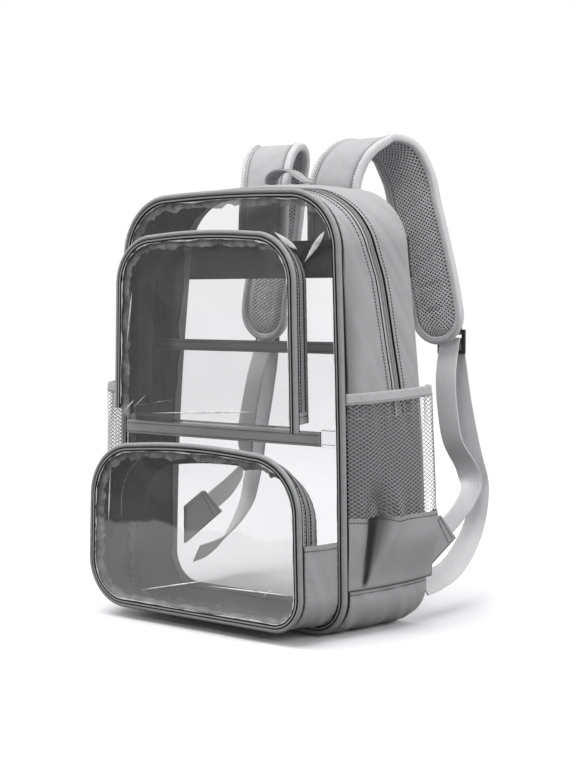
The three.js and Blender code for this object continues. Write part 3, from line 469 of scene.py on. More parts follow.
def sheet(p, n, thick, outer, inner=None, edge=0.2, painted_shade=None, loop=False):
    """A closed cloth sheet over a grid of points and normals, with rounded rims and painted shade."""
    rows, cols = p.shape[:2]
    inner = inner or outer
    s = arc(np.concatenate([p, p[:1]]) if loop else p, 0)
    t = arc(p, 1)
    q = p - n * thick
    size = rows * cols
    faces, uvs, mats = [], [], []
    last = rows if loop else rows - 1
    for i in range(last):
        k = (i + 1) % rows
        for j in range(cols - 1):
            a, b, c, d = i * cols + j, k * cols + j, k * cols + j + 1, i * cols + j + 1
            corners = [(s[i], t[j]), (s[i + 1], t[j]), (s[i + 1], t[j + 1]), (s[i], t[j + 1])]
            faces += [(a, b, c, d), (size + d, size + c, size + b, size + a)]
            uvs += [corners, corners[::-1]]
            mats += [outer, inner]
    rims = [[(i, 0) for i in range(rows)], [(i, cols - 1) for i in range(rows)]]
    if not loop:
        rims += [[(0, j) for j in range(cols)], [(rows - 1, j) for j in range(cols)]]
    points = [p.reshape(-1, 3), q.reshape(-1, 3)]
    count = 2 * size
    for r, rim in enumerate(rims):
        out, back = np.array([p[i] for i in rim]), np.array([q[i] for i in rim])
        if r < 2:
            near = np.array([p[i, 1 if j == 0 else cols - 2] for i, j in rim])
        else:
            near = np.array([p[1 if i == 0 else rows - 2, j] for i, j in rim])
        away = out - near
        away /= np.linalg.norm(away, axis=1)[:, None] + 1e-9
        points.append((out + back) / 2 + away * edge)
        ends = len(rim) if (loop and r < 2) else len(rim) - 1
        for e in range(ends):
            f = (e + 1) % len(rim)
            a, b = rim[e][0] * cols + rim[e][1], rim[f][0] * cols + rim[f][1]
            m1, m2 = count + e, count + f
            x1, x2 = (s[e], s[e + 1]) if r < 2 else (t[e], t[e + 1])
            quads = [(a, m1, m2, b), (m1, size + a, size + b, m2)]
            corners = [[(x1, 0), (x1, 1), (x2, 1), (x2, 0)], [(x1, 1), (x1, 2), (x2, 2), (x2, 1)]]
            if r in (1, 2):
                quads = [x[::-1] for x in quads]
                corners = [x[::-1] for x in corners]
            faces += quads
            uvs += corners
            mats += [outer, outer]
        count += len(rim)
    # Painted shade: the outer face takes the given shade, the inner face none, and every rim 0.7.
    shade = np.zeros((rows, cols)) if painted_shade is None else np.broadcast_to(painted_shade, (rows, cols))
    rim_shade = [np.full(len(rim), 0.7) for rim in rims]
    part = (np.concatenate(points), faces, uvs, mats,
            np.concatenate([shade.ravel(), shade.ravel() * 0, *rim_shade]))
    outward_sum = np.cross(p[1:, :-1] - p[:-1, :-1], p[:-1, 1:] - p[:-1, :-1])
    if (outward_sum * n[:-1, :-1]).sum() < 0:
        part = turned([part])[0]
    return part


def sweep(p, a, b, section, material, loop=False, materials=None):
    """A closed section carried along points p with side vectors a and b.

    The section is one (k, 2) ring or one for each point; materials name each side."""
    p, a, b = (np.asarray(x, float) for x in (p, a, b))
    count = len(p)
    ring = np.broadcast_to(np.asarray(section, float), (count,) + np.shape(section)[-2:])
    k = ring.shape[1]
    points = p[:, None] + a[:, None] * ring[:, :, :1] + b[:, None] * ring[:, :, 1:]
    closed = np.concatenate([p, p[:1]]) if loop else p
    s = distance_along(closed)
    v = distance_along(np.concatenate([ring[0], ring[0][:1]]))
    faces, uvs, mats = [], [], []
    for i in range(count if loop else count - 1):
        e = (i + 1) % count
        for j in range(k):
            g = (j + 1) % k
            faces.append((i * k + j, i * k + g, e * k + g, e * k + j))
            uvs.append([(s[i], v[j]), (s[i], v[j + 1]), (s[i + 1], v[j + 1]), (s[i + 1], v[j])])
            mats.append(materials[j] if materials else material)
    if not loop:
        faces += [tuple(range(k))[::-1], tuple((count - 1) * k + j for j in range(k))]
        uvs += [[(0, 0)] * k, [(0, 0)] * k]
        mats += [material, material]
    part = (points.reshape(-1, 3), faces, uvs, mats, None)
    middle = points.mean(axis=1, keepdims=True)
    if count > 1:
        side = np.cross(points[:-1, 1:] - points[:-1, :-1], points[1:, :-1] - points[:-1, :-1])
        if (side * (points - middle)[:-1, :-1]).sum() < 0:
            part = turned([part])[0]
    return part


def circle(radius, sides):
    """A round section."""
    turn = 2 * np.pi * (np.arange(sides) + 0.5) / sides
    return np.stack([radius * np.cos(turn), radius * np.sin(turn)], axis=1)


def slab(width, thick, ends=2):
    """A flat section with rounded edges."""
    w, h = width / 2, thick / 2
    across = np.linspace(-w + h, w - h, 2 + ends)
    low = [(x, -h) for x in across]
    high = [(x, h) for x in across[::-1]]
    return np.array(low + [(w - h * 0.3, -h * 0.7), (w, 0), (w - h * 0.3, h * 0.7)]
                    + high + [(-w + h * 0.3, h * 0.7), (-w, 0), (-w + h * 0.3, -h * 0.7)])


def along(p, n, every):
    """Points, directions and normals at even distances along a line of points."""
    p, n = np.asarray(p, float), np.asarray(n, float)
    run = distance_along(p)
    at = np.arange(every / 2, run[-1] - every / 4, every)
    ahead, behind = read_at(at + 0.6, run, p), read_at(at - 0.6, run, p)
    return read_at(at, run, p), unit(ahead - behind), unit(read_at(at, run, n))


def stitches(p, n, every=3.4, key="thread"):
    """A row of thread stitches lying on a line of points with normals n."""
    length, radius, lift = 2.4, 0.46, 0.12
    q, t, m = along(p, n, every)
    side = unit(np.cross(t, m))
    m = np.cross(side, t)
    rings = [(-0.5, 0.35, -0.7), (-0.28, 0.95, 0.15), (0.28, 0.95, 0.15), (0.5, 0.35, -0.7)]
    points, faces, uvs = [], [], []
    turn = np.pi * (0.25 + 0.5 * np.arange(4))
    for i in range(len(q)):
        base = len(points)
        for run, size, high in rings:
            c = q[i] + t[i] * run * length + m[i] * (lift + radius * high)
            for g in turn:
                reach = side[i] * np.cos(g) * 1.15 + m[i] * np.sin(g)
                points.append(c + radius * size * reach)
        for r in range(3):
            for j in range(4):
                a, b = base + r * 4 + j, base + r * 4 + (j + 1) % 4
                faces.append((a, b, b + 4, a + 4))
                uvs.append([(r, j), (r, j + 1), (r + 1, j + 1), (r + 1, j)])
        faces += [(base + 3, base + 2, base + 1, base),
                  (base + 12, base + 13, base + 14, base + 15)]
        uvs += [[(0, 0)] * 4, [(0, 0)] * 4]
    return (np.array(points), faces, uvs, key, None)


# Outlines and walls, the same as the solids' but smooth

# An outline's u runs from 0 to FULL round it, about U_MM millimetres for each unit.
HALF, FULL = 23, 46
U_MM = 22
FINE = 4001


def outline(bottom, top, foot, head, foot_r, head_r, bow=0.0, crown=0.0, foot_left=None):
    """x and z round a closed outline at u: 0 is the middle of the foot, 23 the head's."""
    def side(u, r):
        low, high = bottom + r, top - crown - head_r
        turn = np.pi / 2 * np.clip((u - 3) / 4, 0, 1)
        t = np.clip((u - 7) / 7, 0, 1)
        bend = np.pi / 2 * np.clip((u - 14) / 6, 0, 1)
        flat = 1 - np.clip((u - 20) / 3, 0, 1)
        zones = [u < 3, u < 7, u < 14, u < 20]
        x = np.select(zones, [
            (foot - r) * u / 3, foot - r + r * np.sin(turn),
            foot + (head - foot) * t + bow * np.sin(np.pi * t),
            head - head_r + head_r * np.cos(bend),
        ], (head - head_r) * flat)
        z = np.select(zones, [
            bottom + 0 * u, bottom + r * (1 - np.cos(turn)), low + (high - low) * t,
            high + head_r * np.sin(bend),
        ], top - crown * flat * flat)
        return x, z

    def at(u):
        u = np.mod(u, FULL)
        left = u > HALF
        v = np.where(left, FULL - u, u)
        x, z = side(v, foot_r)
        xl, zl = side(v, foot_r if foot_left is None else foot_left)
        return np.stack([np.where(left, -xl, x), np.where(left, zl, z)], axis=-1)

    return at


def outward(at, u):
    """The x and z direction out of an outline at u."""
    d = unit(at(u + 0.5) - at(u - 0.5))
    return np.stack([d[..., 1], -d[..., 0]], axis=-1)


def side_at(at, z):
    """u on the right side where the outline reaches height z."""
    u = np.linspace(3, HALF, FINE)
    return float(np.interp(z, at(u)[:, 1], u))


class Wall:
    """A wall between a front and a back outline.

    at(u, t) gives points, normals and the direction toward the back."""

    def __init__(self, front, back, y_front, y_back, puff):
        self.front, self.back, self.y, self.puff = front, back, (y_front, y_back), puff

    def point(self, u, t):
        u, t = np.broadcast_arrays(np.asarray(u, float), np.asarray(t, float))
        f, b, o = self.front(u), self.back(u), outward(self.front, u)
        lift = self.puff(o[..., 0], o[..., 1], t)[..., None]
        xz = f + (b - f) * t[..., None] + o * lift
        y = self.y[0] + (self.y[1] - self.y[0]) * t
        return np.stack([xz[..., 0], y, xz[..., 1]], axis=-1)

    def at(self, u, t):
        p = self.point(u, t)
        run = self.point(u + 0.3, t) - self.point(u - 0.3, t)
        deep = self.point(u, t + 0.02) - self.point(u, t - 0.02)
        n = unit(np.cross(deep, run))
        o = outward(self.front, np.broadcast_arrays(u, t)[0])
        sign = np.sign(n[..., 0] * o[..., 0] + n[..., 2] * o[..., 1])
        return p, n * sign[..., None], unit(deep)


ones = np.ones_like


def smooth(v):
    """0 to 1 with soft ends."""
    t = np.clip(v, 0, 1)
    return t * t * (3 - 2 * t)


def body_puff(nx, nz, t):
    """How far the body's wall bulges at its sides, its head and its foot."""
    hump = np.sin(np.pi * np.clip(t, 0, 1))
    settled = smooth((t - 0.036) / 0.09) * smooth((0.99 - t) / 0.1)
    return (5 * hump * nx * nx + 2.5 * hump * np.maximum(0, nz)
            + 3.6 * settled * np.maximum(0, -nz) ** 2)


HEIGHT, DEPTH, FOOT_HALF, HEAD_RADIUS = 439, 110, 148.5, 60
# GAP is left between neighbouring pieces, and PIPING is the main cord's radius.
GAP, PIPING = 0.35, 3.6
front_line = outline(PIPING, HEIGHT, FOOT_HALF, FOOT_HALF - 8, 34.4, HEAD_RADIUS, 1.5, 2)
back_line = outline(PIPING, HEIGHT + 15, 173.5, 149.5, 38, 66, 5, 9)
body = Wall(front_line, back_line, 0, DEPTH, body_puff)
FRONT_EDGE, BACK_EDGE = (PIPING + GAP) / DEPTH, 1 - GAP / DEPTH
ZIP_UP = [0.48, 0.57, 0.66, 0.755, 0.8, 0.84, 0.875, 0.91, 0.945, 0.98, 1]
ZIP_BACK = [0.665, 0.628, 0.575, 0.526, 0.496, 0.441, 0.388, 0.341, 0.298, 0.235, 0.2]


def zip_share(u):
    """How far back the main zipper runs, as a share of the depth."""
    return np.interp(front_line(u)[..., 1] / HEIGHT, ZIP_UP, ZIP_BACK)


def dip(d, reach=4.0):
    """How far a cloth face sinks d mm from a seam."""
    return -0.9 * (1 - smooth(d / reach))


def cloth_wall(w, us, t0, t1, cols, depth_mm, seed, outer="cloth", seams=("sewn", "sewn"),
               amp=0.7, wave=58.0, hem=4.0, dark=(4.0, 0.0)):
    """A panel of a wall between shares t0 and t1 of its depth, softly creased.

    seams says how its front and back edges end, and dark how far the painted shade beside them
    reaches."""
    t0, t1 = t0 * ones(us), t1 * ones(us)
    share = np.linspace(0, 1, cols)
    share = share - 0.10 * np.sin(2 * np.pi * share)
    t = t0[:, None] + (t1 - t0)[:, None] * share[None]
    p, n, _ = w.at(us[:, None], t)
    s = arc(p, 0)[:, None]
    width = np.abs(t1 - t0)[:, None] * depth_mm
    from_front, from_back = share[None] * width, (1 - share[None]) * width
    inside = smooth(from_front / 14) * smooth(from_back / 14)
    lift = amp * inside * (ripple(s + 2.2 * from_front, seed, wave) - 0.4)
    shade = np.zeros_like(t)
    for d, kind, reach in ((from_front, seams[0], dark[0]), (from_back, seams[1], dark[1])):
        pucker = 0.22 * ripple(s, seed + 4, 9.5) * np.exp(-((d - hem) / 4) ** 2)
        if kind == "sewn":
            lift = lift + dip(d, hem) + pucker
            if reach:
                # Painted shade in the crevice beside a sewn edge.
                shade = np.maximum(shade, 1 - smooth((d - reach + 1.2) / 1.4))
        else:
            lift = lift + pucker - 0.45 * np.exp(-((d - hem - 0.8) / 1.1) ** 2)
    if w is body:
        flat_foot = smooth((0.9 + n[..., 2]) / 0.15)
        lift = np.where(lift > 0, lift * flat_foot, lift)
        z = p[..., 2]
        # Painted shade behind the side pockets, for the shadow of the net and pocket cloth, and where
        # the cloth is drawn in by the piping.
        covered = smooth((z - 96) / 16) * smooth((238 - z) / 5) * smooth((t - 0.03) / 0.05)
        shade = np.maximum(shade, 0.58 * covered * smooth((1.01 - t) / 0.08))
        drawn_in = smooth((400 - z) / 110) * smooth((z - 30) / 60)
        shade = np.maximum(shade, 0.52 * drawn_in * (1 - smooth((t * depth_mm - 3) / 26)))
    return sheet(p + n * lift[..., None], n, 2.0, outer, "inner_shade_cloth", painted_shade=shade)


def line_on(w, us, t, off=0.0):
    """A line of points on a wall, off mm above it, and its normals."""
    p, n, _ = w.at(us, np.broadcast_to(t, us.shape))
    return p + n * off, n


def zipper_parts(w, us, centre, width, high=2.1):
    """Two woven tapes, a ridge of coil teeth high mm tall and dark lines of painted shade beside
    them.
    """
    p, n, d = w.at(us, centre)
    p = p - n * 0.6
    half = width / 2 - GAP
    edge, rim = half - 2.3, half - 1.2
    section = np.array([(-half, -0.7), (half, -0.7), (half, -0.45), (edge, -0.4), (edge, 0.35),
                        (2.7, 0.7), (2.2, high * 0.86), (0.35, high), (0, high * 0.6),
                        (-0.35, high), (-2.2, high * 0.86), (-2.7, 0.7), (-rim, 0.35),
                        (-rim, -0.4), (-half, -0.45)])
    keys = ["inner_shade_cloth", "painted_groove_shade", "painted_groove_shade", "painted_groove_shade", "tape", "tape", "tape", "coil", "coil",
            "tape", "tape", "tape", "painted_groove_shade", "painted_groove_shade", "painted_groove_shade"]
    parts = [sweep(p, d, n, section, "tape", materials=keys)]
    # Dark tubes of painted shade along both edges of the tapes.
    for off, thick in ((GAP - half, 0.55), (half - 0.6, 0.9)):
        parts.append(sweep(p + d * off + n * 0.75, d, n, circle(thick, 6), "painted_groove_shade"))
    q, t, m = along(p, n, 1.45)
    side = unit(np.cross(t, m))
    points, faces, uvs = [], [], []
    for i in range(len(q)):
        for sign in (-1, 1):
            base = len(points)
            for x, z, y in ((0.2, 0.4, 0), (0.5, high + 0.25, 0), (2.5, high * 0.9 + 0.2, 0.35),
                            (3.0, 0.4, 0.35)):
                for run in (-0.42, 0.42):
                    points.append(q[i] + side[i] * sign * x + m[i] * z + t[i] * (run + y))
            for r in range(3):
                a = base + 2 * r
                quad = (a, a + 1, a + 3, a + 2)
                faces.append(quad if sign < 0 else quad[::-1])
                uvs.append([(0, r), (1, r), (1, r + 1), (0, r + 1)])
            for e, (a, b, c, f) in enumerate(((0, 2, 4, 6), (1, 3, 5, 7))):
                quad = (base + a, base + b, base + c, base + f)
                faces.append(quad if (sign < 0) == (e == 0) else quad[::-1])
                uvs.append([(0, 0)] * 4)
            quad = (base + 6, base + 7, base + 1, base)
            faces.append(quad if sign < 0 else quad[::-1])
            uvs.append([(0, 0)] * 4)
    parts.append((np.array(points), faces, uvs, "coil", None))
    return parts


# Body

ZIP_END = side_at(front_line, 214)
zip_us = np.linspace(ZIP_END, FULL - ZIP_END, 330)
base_us = np.linspace(-ZIP_END + 0.01, ZIP_END - 0.01, 270)
ZIP_WIDTH = 14
zip_mid = zip_share(zip_us)
zip_half = ZIP_WIDTH / 2 / DEPTH

build("gusset_front_cloth", [
    cloth_wall(body, zip_us, FRONT_EDGE, zip_mid - zip_half, 18, DEPTH, 1.3,
               seams=("sewn", "fold"), amp=0.8),
], ["gusset_front_strip"])
build("gusset_rear_cloth", [
    cloth_wall(body, zip_us, zip_mid + zip_half, BACK_EDGE, 24, DEPTH, 2.9,
               seams=("fold", "sewn"), amp=1.0, wave=72),
], ["gusset_rear_strip"])
build("main_zipper_tape", zipper_parts(body, zip_us, zip_mid, ZIP_WIDTH),
      ["main_zipper"])
build("side_and_base_cloth", [
    cloth_wall(body, base_us, FRONT_EDGE, BACK_EDGE, 34, DEPTH, 4.1, amp=0.9, wave=80),
], ["side_and_base_panel"])


def outline_frames(at, us, y):
    """Points on an outline at depth y, with the outward and the backward directions."""
    p, o = at(us), outward(at, us)
    points = np.stack([p[:, 0], np.full(len(us), float(y)), p[:, 1]], axis=1)
    a = np.stack([o[:, 0], 0 * us, o[:, 1]], axis=1)
    return points, a, facing([len(us)], 1.0)


def piping_parts(at, us, y, radius, loop=True):
    """Cord in cloth, the fold of cloth inside it and dark tubes of painted shade beside both."""
    p, a, b = outline_frames(at, us, y)
    out = 0.8 - 0.4 * np.clip(-a[:, 2:], 0, 1)
    level = GAP * (out > 0.6)
    return [
        sweep(p + a * out + b * 0.15, a, b, circle(radius * 0.81, 14), "piping", loop),
        sweep(p + a * level + b * (radius + 0.4), a, b, circle(1.6, 6), "painted_groove_shade", loop),
        sweep(p - a * (radius - 1.4) - b * 2.0, a, b, circle(0.8, 6), "painted_groove_shade", loop),
        sweep(p - a * (radius - 0.2) - b * 0.9, a, b, circle(1.8, 8), "trim", loop),
        sweep(p - a * (radius + 1.3) - b * 1.9, a, b, circle(0.9, 6), "painted_groove_shade", loop),
    ]


loop_us = np.linspace(0, FULL, 460, endpoint=False)
build("main_piping_cord", piping_parts(front_line, loop_us, 0, PIPING),
      ["main_piping"])


def inset_at(at, amount):
    """An outline moved inward by some mm."""
    def moved(u):
        return at(u) - outward(at, u) * amount
    return moved


def edge_distance(at, x, z, low):
    """Each point's distance to an outline, and how far along the outline it lies."""
    line = at(np.linspace(low, FULL - low, 700))
    run = distance_along(line)
    d, s = np.empty(x.shape), np.empty(x.shape)
    for i in range(len(x)):
        gap = np.hypot(x[i][:, None] - line[None, :, 0], z[i][:, None] - line[None, :, 1])
        near = gap.argmin(axis=1)
        d[i], s[i] = gap.min(axis=1), run[near]
    bottom = at(np.array([3.0]))[0, 1]
    return np.minimum(d, np.maximum(z - bottom, 0)), s


def film_panel(at, y, seed, dome, slack=0.5, key="film", folds=(), ridge=1.0):
    """A clear sheet inside an outline, drawn up into a rim along its sewn edges.

    It bulges by dome mm in its middle; each fold is x, z, turn, half length, width, rise."""
    low, high = 3.02, 22.6
    us = np.concatenate([np.linspace(low, 7, 18)[:-1], np.linspace(7, 14, 48)[:-1],
                         np.linspace(14, 20, 34)[:-1], np.linspace(20, high, 9)])
    w = np.linspace(-1, 1, 121)
    w = np.sign(w) * (1 - (1 - np.abs(w)) ** 1.3)
    right, left = at(us), at(FULL - us)
    share = (w[None, :, None] + 1) / 2
    xz = left[:, None] * (1 - share) + right[:, None] * share
    x, z = xz[..., 0], xz[..., 1]
    bottom, top = at(np.array([3.0]))[0, 1], at(np.array([23.0]))[0, 1]
    d, s = edge_distance(at, x, z, low)
    wave = ripple(s, seed, 37) + 0.5 * ripple(s, seed + 5, 15)
    lift = 0.4 * wave * np.exp(-((d - 9) / 8) ** 2)
    ridge_at = 3.4 + 0.9 * ripple(s, seed + 2, 80)
    lift = lift + ridge * np.exp(-((d - ridge_at) / 1.5) ** 2)
    lift = lift + slack * ripple(x * 0.8 + z * 0.6, seed + 1, 120) * smooth(d / 30)
    for fx, fz, turn, long, wide, tall in folds:
        c, e = math.cos(math.radians(turn)), math.sin(math.radians(turn))
        a, b = (x - fx) * c + (z - fz) * e, (z - fz) * c - (x - fx) * e
        taper = np.clip(1 - (a / long) ** 2, 0, 1)
        lift = lift + tall * taper * np.exp(-(b / (wide * (0.35 + taper))) ** 2)
    p = np.stack([x, y - dome * smooth(d / (0.42 * (top - bottom))) - lift, z], axis=-1)
    n = unit(np.cross(np.gradient(p, axis=1), np.gradient(p, axis=0)))
    n = np.where(n[..., 1:2] > 0, -n, n)
    return sheet(p, n, 1.0, key, edge=0.0)


def film_rim_glint(at, us, y, inset, seed, radius, loop=False):
    """A painted glint line where a film bends into its seam, thick and thin by turns."""
    p, a, b = outline_frames(at, us, y)
    s = us * U_MM
    size = radius * (0.75 + 0.5 * ripple(s, seed, 60) + 0.3 * ripple(s, seed + 3, 23))
    size = np.clip(size, 0.12, None)
    off = inset + 0.8 * ripple(s, seed + 1, 90)
    ring = circle(1, 6)[None] * np.stack([size, 0.25 * ones(size)], axis=-1)[:, None]
    return sweep(p - a * off[:, None] - b * 0.5, a, b, ring, "crease", loop)


def leaf(x, z, turn, long, wide, y):
    """A short pointed glint painted on a film: a thin whitened sheet in front of it."""
    t = np.linspace(-1, 1, 25)
    half = wide * (1 - t * t) * (1 + 0.4 * t)
    c, e = math.cos(math.radians(turn)), math.sin(math.radians(turn))
    rows = np.linspace(-1, 1, 5)
    b = half[:, None] * rows[None]
    a = np.broadcast_to((t * long)[:, None], b.shape) + 0.06 * b * b
    tall = y - 0.7 * (1 - rows[None] ** 2) * (half / wide)[:, None]
    p = np.stack([x + a * c - b * e, np.broadcast_to(tall, a.shape), z + a * e + b * c], axis=-1)
    return sheet(p, facing(a.shape), 0.25, "crease", edge=0.0)


# Each row places a real fold in the film and a leaf-shaped painted glint over it.
FOLDS_AND_GLINTS = [(78, 389, -32, 17, 2.6, 1.5), (114, 382, 50, 19, 3.0, 1.6)]
build("front_panel_film", [
    *[leaf(*f[:5], -2.1) for f in FOLDS_AND_GLINTS],
    film_rim_glint(front_line, np.linspace(8.6, FULL - 8.6, 420), -0.6, 6.2, 1.0, 0.7),
    film_panel(inset_at(front_line, 3.0), 0, 1.7, 1.0, folds=FOLDS_AND_GLINTS),
], ["front_panel"])
build("back_panel_film", [film_panel(inset_at(back_line, 0.4), DEPTH, 5.2, -0.6, ridge=0.0)],
      ["back_panel"])


def flange(at, y, seed, start, width, us=loop_us, loop=True, spots=(), key="allowance"):
    """The ruffled seam allowance behind a film, along its piping.

    It is narrower on the right and at the foot, and wider by some mm at the spots."""
    run = np.linspace(0, 1, 5)
    turn = np.asarray(us) % FULL
    on_right = smooth((turn - 3) / 3) * smooth((19 - turn) / 4)
    below = smooth((4.5 - np.minimum(turn, FULL - turn)) / 3)
    share = 1 - 0.7 * on_right - 0.4 * below
    s = us * U_MM
    jagged = 0.07 * ripple(s, seed + 9, 13) * (share > 0.5)
    size = width * share * (1 + 0.2 * ripple(s, seed, 44) + jagged)
    z = at(us)[:, 1]
    for low, high, wide in spots:
        bump = smooth((z - low) / 6) * smooth((high - z) / 6) * (turn < HALF)
        size = size + wide * bump * (1 + 0.25 * ripple(z, 1.0, 15))
    size = np.maximum(size, 0.4)
    p, a, b = outline_frames(at, us, y)
    grid = p[:, None] - a[:, None] * (start + run[None, :, None] * size[:, None, None])
    bend = 0.7 * ripple(s, seed + 2, 30.8)[:, None] * run[None]
    grid = grid + b[:, None] * (0.9 + np.abs(bend) + 0.4 * run[None])[..., None]
    return sheet(grid, facing(grid.shape[:2]), 0.7, key, edge=0.0, loop=loop)


def seam_binding():
    """Cloth tape inside the walls along the back seam, with a wavy free edge."""
    s = loop_us * U_MM
    inner = 1 - (0.7 + 9.5 + 2.6 * ripple(s, 3.3, 44)) / DEPTH
    run = np.linspace(0, 1, 5)
    t = inner[:, None] + (1 - 0.7 / DEPTH - inner)[:, None] * run[None]
    p, n, _ = body.at(loop_us[:, None], t)
    inside = 2.5 + 0.5 * np.abs(ripple(s, 1.2, 30))[:, None] * (1 - run)[None]
    return sheet(p - n * inside[..., None], n, 1.6, "trim", edge=0.1, loop=True)


build("back_seam_tape", [seam_binding()], ["back_seam_binding"])
build("front_seam_allowance", [
    flange(front_line, 1.4, 2.2, 2.6, 10.5),
    # A narrow dark strip inside the film on the right side, in the dark inner cloth: painted shade.
    flange(front_line, 0.9, 2.2, 2.6, 2.2, np.linspace(6.5, 13.5, 120), False,
           ((128, 186, 2.6), (196, 230, 5.5)), "inner_shade_cloth"),
])


# Bands and sleeve

def strip_part(left, right, foot, head, y, thick, key, seed, rows=44, sag=0.5):
    """A flat band facing the front, its long edges folded under."""
    z = np.linspace(foot, head, 9)
    share = np.linspace(0, 1, rows)[:, None]
    x = left(z)[None] * (1 - share) + right(z)[None] * share
    rim = np.minimum(z - foot, head - z)[None]
    lift = sag * ripple(x, seed, 34) * 0.5 - 0.5 * (1 - smooth(rim / 1.6))
    lift = lift - 0.35 * np.exp(-((rim - 2.6) / 0.8) ** 2)
    p = np.stack([x, y - lift, np.broadcast_to(z, x.shape)], axis=-1)
    return sheet(p, facing(x.shape), thick, key, edge=0.15)


def half_at(at, z, off):
    """Half the width inside an outline at heights z, off mm short of it."""
    u = np.array([side_at(at, v) for v in np.ravel(z)])
    return at(u)[:, 0] - off


def level_stitches(x0, x1, y, heights, toward=-1.0, count=60):
    """Level rows of stitches from x0 to x1 at each of the heights."""
    x = np.linspace(x0, x1, count)
    rows = [np.stack([x, y * ones(x), z * ones(x)], axis=1) for z in heights]
    return [stitches(p, facing([count], toward)) for p in rows]


def band_end(z):
    """Half the middle band's width at heights z."""
    return half_at(front_line, z, 4.3)


BAND_FOOT, BAND_TOP, BAND_STOP = 187, 201.5, 121
build("mid_band_cloth", [
    strip_part(lambda z: -band_end(z), lambda z: BAND_STOP * ones(z), BAND_FOOT, BAND_TOP, -2.35,
               2.0, "trim", 0.4),
    *level_stitches(-139, 119.5, -2.3, (198.2, 189.4)),
], ["front_mid_band"])
build("mid_band_clear_end", [
    strip_part(lambda z: (BAND_STOP + 0.6) * ones(z), band_end, BAND_FOOT - 1, BAND_TOP + 3, -1.3,
               0.9, "film", 1.9, rows=14),
    *level_stitches(122, 139, -1.4, (203.2, 189.4)),
])


def anchor_end(z):
    """Half the anchor band's width at heights z."""
    return half_at(inset_at(back_line, GAP), z, 1)


ANCHOR_FOOT, ANCHOR_TOP = HEIGHT - 85, HEIGHT - 45
rows = (ANCHOR_FOOT + 3, ANCHOR_TOP - 3)
# The anchor band's near-black colour is painted shade.
build("anchor_band_cloth", [
    strip_part(lambda z: -anchor_end(z), anchor_end, ANCHOR_FOOT, ANCHOR_TOP, 111.6, 2.0,
               "band_painted_shade", 2.5, rows=60, sag=0.3),
    *level_stitches(-146, 146, 113.6, rows, 1.0, 120),
    *level_stitches(-146, 146, 111.6, rows, -1.0, 120),
], ["strap_anchor_band"])

SLEEVE_FOOT, SLEEVE_TOP, SLEEVE_BACK, SLEEVE_CORNER = 3.05, 276, 46.0, 38


def sleeve_end(z):
    """Half the sleeve's width at heights z."""
    u = np.array([side_at(front_line, max(v, SLEEVE_CORNER)) for v in np.ravel(z)])
    return body.point(u, SLEEVE_BACK / DEPTH)[:, 0] - 3.05


def sleeve_part():
    """The clear sleeve inside the back, slightly rippled, with round lower corners."""
    z = SLEEVE_FOOT + (SLEEVE_TOP - GAP - SLEEVE_FOOT) * np.linspace(0, 1, 44) ** 1.3
    short = np.clip(1 - (z - SLEEVE_FOOT) / SLEEVE_CORNER, 0, 1)
    end = sleeve_end(z) - (SLEEVE_CORNER * (1 - np.sqrt(1 - short ** 2)) + 1)
    w = np.linspace(-1, 1, 41)
    x = w[:, None] * end[None]
    fade = smooth((z - 3) / 40)[None] * smooth((SLEEVE_TOP - z) / 20)[None]
    fade = fade * (1 - w ** 4)[:, None]
    y = SLEEVE_BACK + 1.3 * fade * ripple(x * 0.7 + z[None] * 0.5, 0.7, 90)
    p = np.stack([x, y, np.broadcast_to(z, x.shape)], axis=-1)
    return sheet(p, facing(x.shape), 0.9, "film", edge=0.0)


build("inner_sleeve_film", [sleeve_part()], ["inner_sleeve"])
build("inner_sleeve_band", [
    strip_part(lambda z: -sleeve_end(z), sleeve_end, SLEEVE_TOP, SLEEVE_TOP + 12, SLEEVE_BACK, 2.0,
               "lining_light", 3.1),
    *level_stitches(-142, 142, SLEEVE_BACK, (SLEEVE_TOP + 2.4, SLEEVE_TOP + 9.6)),
], ["inner_sleeve_binding"])


# Front pockets

def swell(nx, nz, t):
    """How far a front pocket's wall bulges between its seams."""
    return 1.5 * np.sin(np.pi * np.clip(t, 0, 1))


def pocket_wall(seed, w, us, t0, t1, depth, outer="pocket_cloth", cols=9, kinds=("sewn", "fold"),
                amp=0.35):
    """A front pocket's cloth wall between shares t0 and t1 of its depth."""
    return cloth_wall(w, us, t0, t1, cols, depth, seed, outer, kinds, amp, 40, 2.2, (2.4, 1.4))


def gussets(name, w, us, lip, mid, half, depth, seeds, rear_cols, row):
    """A front pocket's cloth before and behind its zipper, with a stitch row beside it."""
    before, behind = mid - half, mid + half
    for part, seed, t0, t1, kinds, cols, row_t in (
            ("front", seeds[0], lip, before, ("sewn", "fold"), 9, before - row / depth),
            ("rear", seeds[1], behind, 0.99, ("fold", "sewn"), rear_cols, behind + row / depth)):
        build(name + "_gusset_" + part + "_cloth", [
            pocket_wall(seed, w, us, t0, t1, depth, cols=cols, kinds=kinds),
            stitches(*line_on(w, us, row_t)),
        ], [name + "_gusset_" + part])


UPPER_DEPTH, LOWER_DEPTH = 38, 57
upper_face = outline(204, 397, 118.5, 115.5, 6, 48, 0, 3, 16)
upper_base = outline(204, 389.8, 106.5, 103.5, 6, 43.2, 0, 3, 16)
upper = Wall(upper_face, upper_base, -UPPER_DEPTH, -GAP, swell)
UPPER_END = side_at(upper_face, 222)
upper_us = np.linspace(UPPER_END, FULL - UPPER_END, 250)
UPPER_LIP, UPPER_MID = 3.55 / UPPER_DEPTH, 0.47
UPPER_ZIP = ZIP_WIDTH * 0.86
upper_half = UPPER_ZIP / 2 / UPPER_DEPTH
